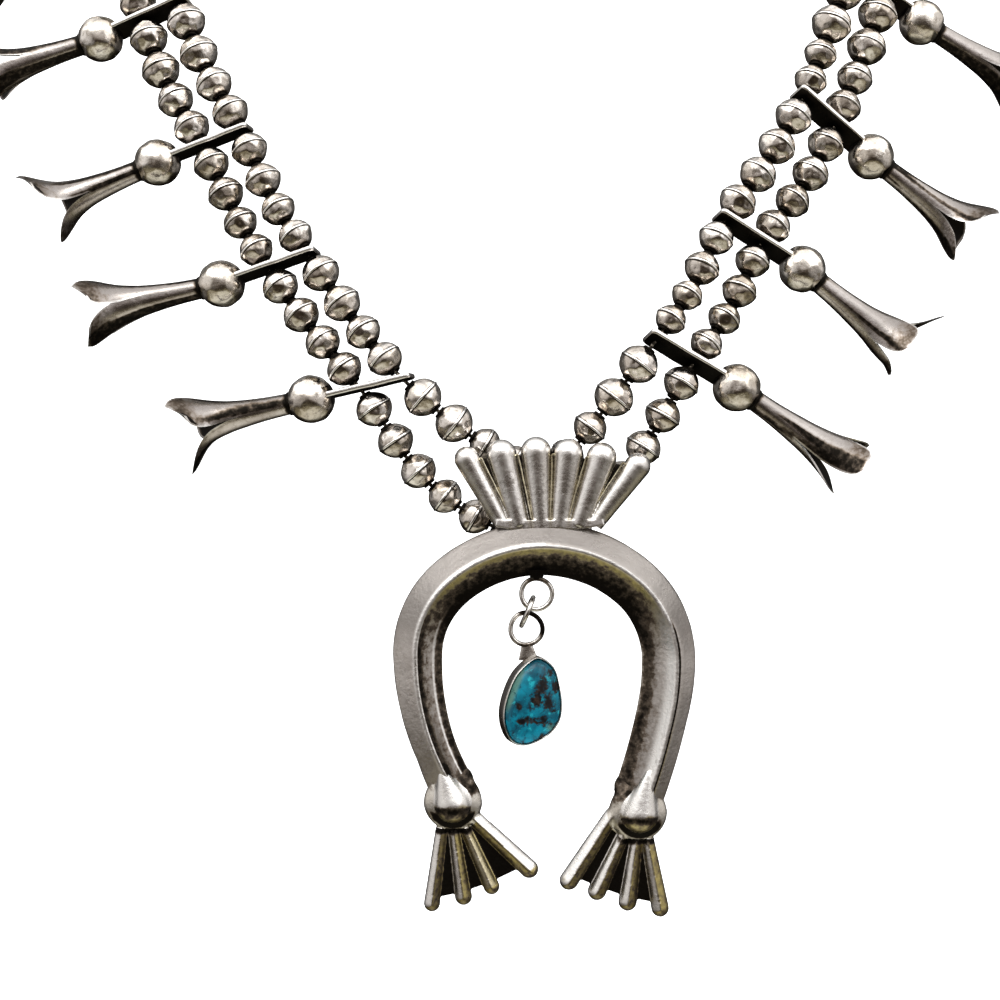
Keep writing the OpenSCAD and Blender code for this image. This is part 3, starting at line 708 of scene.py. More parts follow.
def teardrop(shape, k):
    """The ball of a foot, drawn out to a point that meets the ridge of the leg."""
    bx, bz = FOOT_BALLS[k]
    ball, tip = Vector((bx, DOME_Y, bz)), Vector((RIDGE_ENDS[k][0], POINT_Y, RIDGE_ENDS[k][1]))
    m = along(ball, ball - tip)
    reach = (tip - ball).length
    lean = (DOME_R - POINT_R) / reach
    flank = math.sqrt(1 - lean * lean)
    profile = [(0.0, -reach - POINT_R)]
    profile += [(POINT_R * sin(q), -reach - POINT_R * cos(q)) for q in range(15, 76, 15)]
    start, end = -reach - POINT_R * lean, -DOME_R * lean
    for j in range(10):
        u = j / 9
        profile.append((flank * (POINT_R * (1 - u) + DOME_R * u), start * (1 - u) + end * u))
    first = math.degrees(math.acos(lean))
    for j in range(1, 20):
        q = first + (180 - first) * j / 20
        profile.append((DOME_R * sin(q), -DOME_R * cos(q)))
    profile.append((0.0, DOME_R))
    shape.add(*lathe(profile, 40, m))


def foot_tone(k):
    """Oxide and painted light on a foot: the ball has painted shade and a painted olive reflection below and
    a painted highlight above, the swelling painted shade at its sides and a painted shadow under it, and the
    fan has oxide in its grooves and, by which way each rib faces, painted shade, olive reflection and
    highlight."""
    bx, bz = FOOT_BALLS[k]
    lx, lz = LOBES[k]
    point_x, point_z = RIDGE_ENDS[k]
    grooves = fan_tone(FEET[k], -0.02, 0.1)

    def front(p, ring, rough, below):
        # Painted light on the ball: shade and an olive reflection on its lower half, a shadow round its
        # foot, and a highlight on its upper half.
        half = smooth(bz + 0.9, bz - 0.7, p.z + 0.8 * rough)
        middle = smooth(bz + 0.4, bz - 0.8, p.z) * smooth(bz - 2.2, bz - 1.0, p.z)
        dark = half * (0.25 + 0.3 * middle + 0.4 * max(0.0, rough)) + 0.5 * below * smooth(3.4, 4.1, ring)
        return min(1.0, dark), 0.85 * half - 0.9 * (1 - half)

    def flank(p, ring, rough, below):
        # Painted shade on the swelling: a painted shadow round the ball's foot, darker towards the back, and
        # darker at its upper sides away from the ridge line, more on the inner side.
        u = (p.z - bz) / (point_z - bz)
        off = abs(p.x - bx - u * (point_x - bx))
        inward = (p.x - bx) * (1 if k == 0 else -1) > 0
        dull = smooth(1.3, 3.0, off) * smooth(bz + 0.5, bz + 3.5, p.z) * (0.5 if inward else 0.22)
        shadow = 0.95 * smooth(5.2, 4.4, ring) * below + 0.3 * smooth(-0.6, 0.2, p.y) + dull
        return min(1.0, shadow + 0.35 * max(0.0, rough)), 0.15

    def rule(p, n):
        if math.hypot(p.x - lx, p.z - lz) < 6.2 and p.z > lz - 5.4 or p.z > bz + 1:
            ring = math.hypot(p.x - bx, p.z - bz)
            below = smooth(bz - 0.2, bz - 3.0, p.z)
            part = front if p.y < -2.75 else flank
            return part(p, ring, rough_noise(p, 0.55, 3 + k), below)
        t, w = grooves(p, n)
        # A painted shadow under the swelling.
        under = smooth(lz - 7.4, lz - 5.6, p.z) * smooth(4.6, 3.0, abs(p.x - lx))
        under *= 0.95 if p.y > -1.7 else 0.55
        # Painted light by facing: painted shade and an olive painted reflection on what faces down and
        # right, a painted highlight on what faces up and left.
        shade = 0.45 * n.x - 0.9 * n.z
        brown = 0.36 * smooth(-0.1, 0.3, shade)
        reflected_tint = min(1.0, w + smooth(-0.2, 0.1, shade)) - 0.75 * smooth(-0.22, -0.5, shade)
        return min(1.0, max(t, under, brown)), reflected_tint

    return rule


def foot(k):
    """A leg's end in one piece: the swelling with its ball, and the fan of four ridged ribs."""
    s = Shape()
    ribs = FEET[k]
    for row in ribs:
        rib(s, row, height=1.3, ridge=0.35)
    web(s, ribs, 0.93, 0.7)
    lx, lz = LOBES[k]
    swelling(s, lx, lz, LOBE, 48)
    x, z, r = SHOULDERS[k]
    swelling(s, x, z, [(0, 0), (r, 0), (r + 0.15, 0.4), (r - 0.1, 0.8), (0.8 * r, 1.1), (0, 1.3)], 32)
    teardrop(s, k)
    left, right = ribs[0].root, ribs[-1].root
    low = ((left.x - 0.6, left.z - 0.6), (right.x + 0.6, right.z - 0.6))
    mid = ((left.x + right.x) / 2, (left.z + right.z) / 2 - 1.1)
    slab(s, ((lx - 5.2, lz - 0.5), low[0], mid, low[1], (lx + 5.2, lz - 0.5)), 0.0, -0.9)
    o = s.build("naja_foot_%s" % "lr"[k], [FAN], ["naja"], angle=60)
    remesh(o, 4)
    soften(o, lambda p: smooth(lz - 5.2, lz - 3.6, p.z), 14)
    ball_z = FOOT_BALLS[k][1]
    soften(o, lambda p: smooth(ball_z - 0.3, ball_z + 2.0, p.z), 90)
    retone(o, foot_tone(k))


# The bails behind the naja: x of the middle, z, length
STRING_Y = 4.6
BAILS = ((0.6, 5.4, 3.6), (1.0, -8.6, 6.0))
CORNERS = ((-1, -1), (1, -1), (1, 1), (-1, 1))


def bails():
    """Two tubes for the threads, each on a plate that joins it to the naja's back."""
    s = Shape()
    for x, z, length in BAILS:
        mouth = [(0.9, 0.08), (1.0, 0), (1.6, 0), (1.7, 0.1)]
        section = mouth + [(r, length - h) for r, h in reversed(mouth)]
        m = Matrix.Translation((x - length / 2, STRING_Y, z)) @ turn(y=90)
        s.add(*ring_lathe(section, 28, m), tone=0.15)
        rings = []
        for i in range(14):
            t = i / 13
            wide, tall = length / 2 - 0.1, 0.9 + 0.5 * (1 - t) ** 3
            y = -0.3 + t * (STRING_Y - 0.75 + 0.3)
            rings.append([(x + wide * across, y, z + tall * up) for across, up in CORNERS])
        s.add(*rings_mesh(rings), tone=0.3)
    s.build("naja_bails", [CAST], ["naja"], angle=35)


RING_R, WIRE_R = 3.55, 0.48


def torus(matrix, outer, sides=64, wobble=0.0, gap=0.0, seed=1.0):
    """A wire ring; with a gap it is an open jump ring with cut ends."""
    rings = []
    for k in range(sides + bool(gap)):
        t = math.radians(gap / 2) + (2 * math.pi - math.radians(gap)) * k / sides
        r = outer - WIRE_R + wobble * math.sin(3 * t + seed)
        c = Vector((math.cos(t), math.sin(t), 0))
        shift = Vector((0, 0, 0.22 * (k / sides - 0.5))) if gap else Vector()
        rings.append([
            matrix @ (c * (r + WIRE_R * math.cos(q)) + Vector((0, 0, WIRE_R * math.sin(q))) + shift)
            for q in circle(16)
        ])
    return rings_mesh(rings, closed_ends=bool(gap))


def ellipse(x, y, z, half, deep):
    """A level ring of the necks that hold the rings."""
    return [(x + half * math.cos(q), y + deep * math.sin(q), z) for q in circle(20)]


FIXED_RING = Vector((-0.7, -1.4, -18.7))


def fixed_ring():
    """The ring soldered inside the top of the horseshoe, with its neck."""
    s = Shape()
    x, y, z = FIXED_RING
    v, f = torus(Matrix.Translation(FIXED_RING) @ turn(x=90), RING_R, wobble=0.04)
    s.add(v, f, tone=[0.5 * smooth(z + 1.4, z + 3.2, p[2]) + 0.1 for p in v])
    neck = []
    for t in (i / 11 for i in range(12)):
        neck.append(ellipse(x, y + 0.1, z + RING_R - 0.75 + 1.9 * t, 1.25 + 0.9 * t * t, 0.6 + 0.15 * t))
    s.add(*rings_mesh(neck), tone=0.9)
    s.build("naja_fixed_ring", [WIRE], ["naja"])


horseshoe()
crown()
crown_wires()
foot(0)
foot(1)
bails()
fixed_ring()

# drop

JUMP_AT, JUMP_LEAN = Vector((-2.5, 0.2, -22.3)), 24
DROP_RING_AT, DROP_RING_R = Vector((-2.7, 2.0, -25.9)), 3.7
STONE_AT, DROP_TURN = Vector((-1.9, 0.6, -40.6)), 12
CUP_DEPTH, CUP_WALL, DOME = 4.2, 0.5, 1.8
STONE_GAP = 0.12
# Outline of the cup round its middle: across, up
OUTLINE = (
    (1.7, 9.3), (4.5, 7.2), (5.7, 3.4), (6.2, -0.4), (5.6, -3.8), (3.2, -6.6),
    (-1.2, -8.4), (-4.4, -7.5), (-6.0, -3.9), (-5.8, 0.4), (-3.7, 5.6), (-0.6, 8.7),
)
# Black patches of the stone: across, up, half width, half height
PATCHES = (
    (1.4, 3.6, 1.5, 1.9), (0.2, 0.6, 1.7, 1.5), (3.2, 0.2, 1.7, 1.7), (4.4, 3.6, 1.0, 2.0),
    (-1.5, -3.2, 2.0, 1.3), (2.2, -3.4, 1.6, 1.4), (0.4, -6.4, 1.8, 0.8), (-3.2, -0.4, 0.8, 1.0),
    (3.2, 6.2, 0.8, 1.0),
)


def rounded_outline(steps=8):
    """A smooth closed curve through the outline's points."""
    n = len(OUTLINE)
    pts = []
    for i in range(n):
        p, q, r, s = (Vector(OUTLINE[(i + k) % n]) for k in (-1, 0, 1, 2))
        for t in (j / steps for j in range(steps)):
            bend = (2 * p - 5 * q + 4 * r - s) * t * t + (3 * q - p - 3 * r + s) * t ** 3
            pts.append(0.5 * (2 * q + (r - p) * t + bend))
    return pts


CURVE = rounded_outline()
DROP = Matrix.Translation(STONE_AT) @ turn(x=90, z=DROP_TURN)


def inset(by, height):
    """The cup's outline drawn in by some millimetres, at a height over the cup's middle."""
    return [DROP @ Vector((*(p * (1 - by / p.length)), height)) for p in CURVE]


def jump_ring():
    m = Matrix.Translation(JUMP_AT) @ turn(y=JUMP_LEAN) @ turn(y=90) @ turn(z=115)
    s = Shape()
    s.add(*torus(m, RING_R, sides=72, wobble=0.03, gap=2.4), tone=0.12)
    s.build("drop_jump_ring_wire", [WIRE], ["drop_jump_ring"])


def bezel():
    """The cup with its uneven rubbed-over rim, its ring and the neck between them."""
    s = Shape()
    top = CUP_DEPTH / 2
    back = -top
    # Rings of the cup from its back over the rim to the floor: inset, height, oxide
    levels = (
        (0.35, back, 0.3), (0.1, back + 0.05, 0.2), (0.0, back + 0.25, 0.1), (0.0, back + 1.2, 0.04),
        (0.02, 0.0, 0.02), (0.03, top - 0.9, 0.0), (0.10, top - 0.35, 0.0), (0.20, top - 0.06, 0.0),
        (0.32, top + 0.02, 0.0), (0.44, top - 0.04, 0.25), (CUP_WALL, top - 0.3, 0.7),
        (CUP_WALL, back + 0.6, 0.9),
    )
    rings, tone = [], []
    for by, h, t in levels:
        ring = []
        for p, q in zip(inset(by, h), circle(len(CURVE))):
            bend = rough_noise((math.cos(q) * 2.2, math.sin(q) * 2.2, h * 0.25), 1.0, 4.0)
            ring.append(p + Vector((0, bend * 0.14 if h > 0.5 else 0, 0)))
        rings.append(ring)
        tone += [t] * len(ring)
    s.add(*rings_mesh(rings), tone)
    x, y, z = DROP_RING_AT
    v, f = torus(Matrix.Translation(DROP_RING_AT) @ turn(x=90), DROP_RING_R, wobble=0.05, seed=2.2)
    # The ring is darker towards its upper right, and towards its bottom where the neck joins it.
    tone = [
        0.12 + 0.7 * smooth(0.5, 3.0, (p[0] - x) + (p[2] - z)) + 0.5 * smooth(z - 2.4, z - 3.6, p[2])
        for p in v
    ]
    s.add(v, f, tone)
    neck = []
    for t in (i / 9 for i in range(10)):
        neck.append(ellipse(x + 0.1 + 0.35 * t, y + 0.45, z - DROP_RING_R + 0.75 - 3.4 * t, 1.0 + t, 0.38))
    s.add(*rings_mesh(neck), tone=0.3)
    s.build("drop_bezel_cup", [WIRE], ["drop_bezel"], angle=50)


def stone():
    """The domed cabochon with its black patches and its green streak."""
    floor = -CUP_DEPTH / 2 + 0.9
    edge = CUP_DEPTH / 2 - 0.4
    by = CUP_WALL + STONE_GAP
    rings = [inset(by, floor), inset(by, edge)]
    base = [p * (1 - by / p.length) for p in CURVE]
    for q in range(6, 91, 6):
        share = cos(q) ** 0.8 if q < 90 else 0.003
        rise = edge + (DOME + 0.5) * sin(q) ** 0.72
        rings.append([DROP @ Vector((*(p * share), rise)) for p in base])
    s = Shape()
    s.add(*rings_mesh(rings))
    o = s.build("drop_stone_cabochon", [STONE], ["drop_stone"])
    patch, green = [], []
    for p in s.v:
        x, y, _ = DROP.inverted() @ Vector(p)
        patch.append(max(math.exp(-(((x - px) / w) ** 2 + ((y - py) / h) ** 2)) for px, py, w, h in PATCHES))
        streak = smooth(1.1, 0.3, abs(x + 3.9 - 0.42 * (y - 3.4))) * smooth(-3, 1, y)
        spot = math.exp(-(((x - 3.4) / 0.8) ** 2 + ((y + 4.6) / 0.7) ** 2))
        green.append(0.85 * streak + 0.9 * spot)
    write_layers(o.data, matrix=patch, green=green)


jump_ring()
bezel()
stone()

# blossoms

# x, y, z of the ball, side, fall of the strip, fall of the bell, lean of the strip, petal turn
BLOSSOMS = (
    (-46.5, 6.5, 20.5, -1, 12, 11.5, 0, 77), (-66, 14.5, 45, -1, 17, 11, 9, 110),
    (-81, 23.5, 72, -1, 18, 21, 4, 70), (-95.5, 33.5, 101, -1, 20, 15.5, 19, 105),
    (-104, 50, 128, -1, 24, 24, 22, 80), (40.5, 8.5, 23, 1, 29, 34.5, 23, 75),
    (55.5, 17.5, 48.5, 1, 30, 38, 20, 80), (72, 27.5, 74, 1, 38, 36, 27, 50),
    (85.5, 38.5, 106, 1, 31, 30, 25, 45), (94, 55, 132, 1, 34, 36, 25, 60),
)
STRIP_RECESS, BELL_RECESS = 12, 6
STRIP_T, STRIP_W, STRIP_START, STRIP_REACH, BALL_R = 1.2, 5.6, 4.2, 21.8, 4.9
# The worn edge of a strip: inset, depth under the face
STRIP_EDGE = ((0.42, 0.0), (0.2, 0.08), (0.07, 0.22), (0.0, 0.42))
BELL_START, SLIT_AT, REACH = 3.5, 14.5, 28.2
PETAL_LENGTH, PETAL_SLIT = 24, 0.012
# Radius of the bell along its length, in mm from the ball's middle
BELL = ((BELL_START, 1.85), (9, 2.05), (14, 2.5), (18, 3.1), (22, 4.2), (25.5, 5.9), (REACH, 8.0))
# Half width of a petal along its length, pointed and blunt, in mm
POINTED = ((SLIT_AT, 2.7), (18, 3.0), (22, 3.1), (24.5, 2.8), (26.3, 2.0), (27.5, 1.1), (REACH, 0.25))
BLUNT = ((SLIT_AT, 2.7), (18, 3.1), (22, 3.7), (25, 3.8), (26.8, 3.4), (27.7, 2.7), (REACH, 1.6))
# The solder at the root of the bell: radius, height
COLLAR = ((1.75, 4.3), (2.4, 4.3), (2.45, 4.5), (2.2, 4.9), (2.1, 5.1), (1.75, 5.1))
PETAL_T = 0.6


def table(rows, x):
    """A smooth curve through the rows."""
    xs, ys = [r[0] for r in rows], [r[1] for r in rows]
    if x <= xs[0]:
        return ys[0]
    if x >= xs[-1]:
        return ys[-1]
    i = max(k for k in range(len(xs) - 1) if xs[k] <= x)
    h = xs[i + 1] - xs[i]
    t = (x - xs[i]) / h

    def slope(k):
        a, b = max(k - 1, 0), min(k + 1, len(xs) - 1)
        return (ys[b] - ys[a]) / (xs[b] - xs[a])

    leave = ys[i] * (1 + 2 * t) + slope(i) * h * t
    arrive = ys[i + 1] * (3 - 2 * t) - slope(i + 1) * h * (1 - t)
    return leave * (1 - t) ** 2 + arrive * t * t


# Each blossom's petals: turn of the tip, length, curl of the tip, how blunt it is, and how much longer
# it is on the side of the smaller turn
PLAIN = ((0, 1.0, 0.3, 0.3, 0),) * 3
PETALS = {
    0: ((-30, 0.92, 0.25, 0.8, -2.0), (7, 0.93, 0.0, 1.0, 0), (-17, 0.98, 0.6, 0.0, 0)),
    1: ((-56, 0.99, 0.1, 0.8, -1.5), (-8, 0.98, 0.0, 1.0, 0), (-14, 1.02, 0.1, 0.9, 0.7)),
    2: ((0, 0.96, 0.3, 1.0, -1.6), (8, 0.85, 0.0, 1.0, 0), (0, 0.88, 0.1, 0.1, 0)),
    5: ((10, 1.1, 0.0, 0.2, 0), (4, 1.06, -0.2, 1.2, 0), (30, 1.1, -0.2, -0.3, 0)),
    6: ((36, 1.14, 1.2, 0.5, 0), (2, 0.93, -0.2, 1.3, 0), (-14, 1.04, -0.8, 1.2, 0)),
    7: ((-24, 1.01, 0.0, 0.8, 0), (14, 0.97, 0.1, 0.8, 1.2), (-10, 0.96, 0.1, 0.0, 0)),
}


ACROSS, TUBE_STEPS, PETAL_STEPS = 14, 10, 24


def bell_rows():
    """Stations along a bell, closer together from the slits on."""
    tube_rows = [BELL_START + (SLIT_AT - BELL_START) * k / TUBE_STEPS for k in range(TUBE_STEPS + 1)]
    return tube_rows + [SLIT_AT + (REACH - SLIT_AT) * k / PETAL_STEPS for k in range(1, PETAL_STEPS + 1)]


def petal_point(i, k, side, at, v):
    """A point of petal k: its place, oxide, and warmth that paints a highlight on its edges. v runs over its
    width from -1 to 1.
    """
    shift, length, curl, blunt, skew = PETALS.get(i, PLAIN)[k]
    *_, petal_turn = BLOSSOMS[i]
    u = max(0.0, (at - SLIT_AT) / (REACH - SLIT_AT))
    radius, half = table(BELL, at), math.radians(60)
    if u > 0:
        width = table(POINTED, at) * (1 - blunt) + table(BLUNT, at) * blunt
        half = min(width / radius, half - PETAL_SLIT - 0.1 * u)
    a = math.radians(petal_turn + 60 + 120 * k + shift * u) + v * half
    c, s = math.cos(a), math.sin(a)
    skin = PETAL_T / 2 if side == "out" else -PETAL_T / 2
    lift = curl * 3.0 * smooth(0.45, 1.0, u) * u
    r = radius + skin * (1.0 - 0.35 * u) + lift
    r += rough_noise((c * 3, s * 3, at * 0.2), 0.5, i * 3.3) * 0.12 * (0.3 + u)
    h = at + (length - 1) * PETAL_LENGTH * u - abs(lift) * 0.35 + skin * 0.6 * u - skew * v * u * u
    # A painted highlight along the petal's edges and its tip.
    edge = max(smooth(0.90, 0.98, abs(v)) * smooth(0.0, 0.12, u), 0.7 * smooth(0.95, 1.0, u))
    if side == "in":
        tone = (1.0 - 0.45 * smooth(0.75, 1.0, u)) * (1 - 0.9 * edge)
    else:
        streak = smooth(0.0, 0.22, rough_noise((c * 3.2, s * 3.2, at * 0.05), 0.5, i * 7.1 + 2))
        root = 0.9 * smooth(1.3, 0.0, at - 4.5)
        beside = 0.25 * smooth(0.7, 0.9, abs(v)) * smooth(0.0, 0.15, u)
        tip = 0.42 * smooth(0.45, 0.9, u)
        tone = max(root + beside * (1 - edge), 0.62 * streak * (1 - edge), tip * (1 - edge))
    return (r * c, r * s, h), tone, -0.65 * edge


def bell(shape, i, matrix):
    """A bell of two skins, whole as a tube and then slit into three petals."""
    rows = bell_rows()
    index, points, tone, warm, faces = {}, [], [], [], []

    def key(side, k, r, j):
        """Petals share their edges where the tube is whole."""
        return (side, (k + 1) % 3, r, 0) if j == ACROSS and r <= TUBE_STEPS else (side, k, r, j)

    for side in ("out", "in"):
        for k in range(3):
            for r, at in enumerate(rows):
                for j in range(ACROSS + 1):
                    if key(side, k, r, j) in index:
                        continue
                    index[key(side, k, r, j)] = len(points)
                    point, t, w = petal_point(i, k, side, at, -1 + 2 * j / ACROSS)
                    points.append(matrix @ Vector(point))
                    tone.append(t)
                    warm.append(w)

    def face(k, *corners):
        faces.append([index[key(side, k, r, j)] for side, r, j in corners])

    last = len(rows) - 1
    for k in range(3):
        for r in range(last):
            for j in range(ACROSS):
                cell = ((r, j), (r, j + 1), (r + 1, j + 1), (r + 1, j))
                face(k, *(("out", *c) for c in cell))
                face(k, *(("in", *c) for c in reversed(cell)))
        for j in range(ACROSS):
            face(k, ("out", last, j), ("out", last, j + 1), ("in", last, j + 1), ("in", last, j))
            face(k, ("out", 0, j + 1), ("out", 0, j), ("in", 0, j), ("in", 0, j + 1))
        for r in range(TUBE_STEPS, last):
            for j in (0, ACROSS):
                face(k, ("out", r, j), ("out", r + 1, j), ("in", r + 1, j), ("in", r, j))
    shape.add(points, faces, tone, warm, 1)


def strip(shape, matrix):
    """A flat bar whose inner end is rounded and whose edges are worn."""
    w, t = STRIP_W / 2, STRIP_T / 2
    line = [(STRIP_START, w)] + [(5 + (STRIP_REACH - 6.5) * k / 11, w) for k in range(1, 12)]
    line += [(STRIP_REACH - 1.4 + 1.4 * cos(q), w * 0.72 + w * 0.28 * sin(q)) for q in range(90, -1, -15)]
    line += [(x, -y) for x, y in reversed(line)]
    levels = [(by, deep - t) for by, deep in STRIP_EDGE]
    levels += [(by, -z) for by, z in reversed(levels)]
    rings, tone, warm = [], [], []
    for by, z in levels:
        ring = []
        on_face = abs(z) > t - 0.05
        for x, y in line:
            bump = rough_noise((x, y * 0.5, z), 0.25, 9) * 0.1
            ring.append(matrix @ Vector((x - by * (x > STRIP_REACH - 2), y * (1 - by / w), z + bump)))
            # A painted shade darkens the underside; a painted highlight whitens the edges.
            tone.append((0.25 if z > 0 else 0.85) if on_face else 0.0)
            warm.append(0.0 if on_face else -0.8)
        rings.append(ring)
    shape.add(*rings_mesh(rings), tone, warm, 1)


def ball(shape, centre, seed, axis):
    """A dented hollow ball, dark where the bell and the strip are soldered on."""
    latitudes = [0.6] + [6 * k for k in range(1, 30)] + [179.4]
    v, f = lathe([(BALL_R * sin(a), -BALL_R * cos(a)) for a in latitudes], 48, along(centre, axis))
    out, tone = [], []
    for p in v:
        n = (p - centre).normalized()
        dent = rough_noise(n * 4, 0.62, seed) * 0.16 + rough_noise(n * 9, 0.6, seed + 5) * 0.04
        out.append(p + n * dent)
        facing = n.dot(axis.normalized())
        tone.append(0.75 * smooth(0.84, 0.95, facing) + 0.6 * smooth(0.80, 0.93, -facing))
    shape.add(out, f, tone)


def blossom(i):
    """Strip, ball and bell in one soldered piece."""
    x, y, z, side, strip_fall, bell_fall, lean, _ = BLOSSOMS[i]
    centre = Vector((x, y, z))
    strip_yaw = -STRIP_RECESS if side < 0 else 180 + STRIP_RECESS
    bell_yaw = 180 - BELL_RECESS if side < 0 else BELL_RECESS
    strip_m = Matrix.Translation(centre) @ turn(y=-strip_fall, z=strip_yaw) @ turn(x=side * lean)
    bell_m = Matrix.Translation(centre) @ turn(y=bell_fall, z=bell_yaw) @ turn(y=90)
    s = Shape()
    ball(s, centre, 11.0 + 2.3 * i, (bell_m @ Vector((0, 0, 1))) - centre)
    bell(s, i, bell_m)
    s.add(*ring_lathe(COLLAR, 32, bell_m), tone=0.8, mat=1)
    strip(s, strip_m)
    name = "blossom_%s%d" % ("l" if side < 0 else "r", i % 5 + 1)
    s.build(name + "_worked", [BALL, PETAL], [name], angle=42)


for number in range(len(BLOSSOMS)):
    blossom(number)

# beads


def loose_parts(o):
    """The vertices and triangles of each loose shell of a CAD node, in chest millimetres."""
    co = np.array([v.co for v in o.data.vertices], float) * 1000 - np.array(SHIFT)
    key, inverse = np.unique(np.round(co, 3), axis=0, return_inverse=True)
    inverse = np.asarray(inverse).reshape(-1)
    parent = list(range(len(key)))

    def find(a):
        while parent[a] != a:
            parent[a] = parent[parent[a]]
            a = parent[a]
        return a

    o.data.calc_loop_triangles()
    tris = [[int(inverse[k]) for k in t.vertices] for t in o.data.loop_triangles]
    for a, b, c in tris:
        parent[find(a)] = find(b)
        parent[find(b)] = find(c)
    groups = {}
    for t in tris:
        groups.setdefault(find(t[0]), []).append(t)
    return [(key, np.array(g)) for g in groups.values()]


def bead_frames(node):
    """Middle, drilling direction, half length and equator radius of each bead of a string."""
    frames = []
    for key, tris in loose_parts(NODES[node]):
        a, b, c = (key[tris[:, k]] for k in range(3))
        area = np.linalg.norm(np.cross(b - a, c - a), axis=1)
        mid = (a + b + c) / 3
        centre = (mid * area[:, None]).sum(0) / area.sum()
        d = mid - centre
        cov = (d * area[:, None]).T @ d / area.sum()
        values, vectors = np.linalg.eigh(cov)
        odd = 2 if values[2] - values[1] > values[1] - values[0] else 0
        axis = vectors[:, odd]
        pts = key[np.unique(tris)] - centre
        h = np.abs(pts @ axis).max()
        r = np.linalg.norm(pts - np.outer(pts @ axis, axis), axis=1).max()
        frames.append((Vector(centre), Vector(axis), float(h), float(r)))
    return sorted(frames, key=lambda f: f[0].z)


DRILLING_R = 0.9
# The collar at a bead's drilling: radius, height under the bead's end
BEAD_COLLAR = ((DRILLING_R, 0.0), (1.2, 0.0), (1.3, 0.12), (1.32, 0.3))
# The seam round a bead's equator, a painted highlight on it and oxide with painted shade below it: radius
# over the equator's, height, oxide and painted shade, warmth (below 0 the painted highlight)
BEAD_SEAM = (
    (0.0, 0.27, 0.5, 0.0), (0.09, 0.20, 0.0, -0.8), (0.14, 0.08, 0.0, -1.0), (0.14, -0.08, 0.0, -1.0),
    (0.09, -0.20, 0.0, -0.6), (-0.02, -0.27, 0.9, 0.0), (-0.03, -0.42, 0.55, 0.0),
)


def bead(shape, centre, axis, half, equator, seed):
    """Two domes soldered at the equator, with a worn seam that carries a painted highlight over a line of
    oxide and painted shade, and small collars at the drilling.
    """
    rnd = random.Random(seed)
    d, a, b = basis(axis if axis.z > 0 else -axis)
    spin = rnd.random() * 6.28
    radius = equator + 0.02
    power = 1.06 + 0.06 * rnd.random()
    start = math.asin((1.38 / radius) ** (1 / power))
    steps, low = 16, 0.45
    side = [(r, half - deep, 0.9, 0.0) for r, deep in BEAD_COLLAR]
    for k in range(steps):
        q = start + (math.pi / 2 - start) * k / (steps - 1)
        h = half * 0.985 * max(math.cos(q), 0) ** power
        if h > low:
            side.append((radius * math.sin(q) ** power, h, 0.85 * (1 - smooth(3, 7.5, len(side))), 0.0))
    section = side + [(radius + over, h, t, w) for over, h, t, w in BEAD_SEAM]
    section += [(r, -h, t, w) for r, h, t, w in reversed(side)]
    section += [(DRILLING_R, -half * 0.3, 1.0, 0.0), (DRILLING_R, half * 0.3, 1.0, 0.0)]
    sides = 30
    rings = []
    for t in circle(sides):
        c = a * math.cos(spin + t) + b * math.sin(spin + t)
        ring = []
        for r, h, _, _ in section:
            dent = 0.0
            if r > 1.4 and abs(h) > 0.3:
                dent = rough_noise(c * r + d * h + Vector((seed, 0, 0)), 0.5, seed * 0.37) * 0.13
            ring.append(centre + c * (r + dent) + d * h)
        rings.append(ring)
    v, f = rings_mesh(rings, closed_ends=False)
    shape.add(v, f, [row[2] for row in section] * sides, [row[3] for row in section] * sides)


def bead_string(node):
    s = Shape()
    for k, (centre, axis, half, equator) in enumerate(bead_frames(node)):
        bead(s, centre, axis, half, equator, k + 57 * len(node) + ord(node[6]))
    s.build(node + "_domed", [BEAD], [node], angle=38)


for string in ("inner_left", "inner_right", "outer_left", "outer_right"):
    bead_string("beads_" + string)

# threads and clasp

for node, material in (("thread_inner", THREAD), ("thread_outer", THREAD), ("clasp", CAST)):
    NODES[node].data.materials.clear()
    NODES[node].data.materials.append(material)
for node in ("thread_inner", "thread_outer"):
    NODES[node].data.shade_smooth()

# stage, lights, camera


FLOOR_Z, WALL_Y, SWEEP_R, FLOOR_HALF = -0.33, 0.9, 0.5, 6.0


def pale_floor():
    """A matt, faintly glowing near-white that the floor and the wall share."""
    m = bpy.data.materials.new("pale_floor")
    m.use_nodes = True
    colour = rgb(0.93, 0.93, 0.925)
    inputs = m.node_tree.nodes["Principled BSDF"].inputs
    inputs["Base Color"].default_value = colour
    inputs["Roughness"].default_value = 0.9
    inputs["Specular IOR Level"].default_value = 0.0
    inputs["Emission Color"].default_value = colour
    inputs["Emission Strength"].default_value = 0.82
    return m


def sweep_stage():
    """A pale floor that turns up into a pale wall."""
    y, z = WALL_Y - SWEEP_R, FLOOR_Z + SWEEP_R
    profile = [(-3.5, FLOOR_Z), (y, FLOOR_Z)]
    profile += [(y + SWEEP_R * sin(q), z - SWEEP_R * cos(q)) for q in range(6, 91, 6)]
    profile += [(WALL_Y, 3.0)]
    v = [(x, y, z) for y, z in profile for x in (-FLOOR_HALF, FLOOR_HALF)]
    f = [(2 * k, 2 * k + 1, 2 * k + 3, 2 * k + 2) for k in range(len(profile) - 1)]
    mesh = bpy.data.meshes.new("floor")
    mesh.from_pydata(v, [], f)
    mesh.materials.append(pale_floor())
    mesh.shade_smooth()
    o = bpy.data.objects.new("floor", mesh)
    bpy.context.scene.collection.objects.link(o)
    o.visible_glossy = False
    o.visible_shadow = True


sweep_stage()


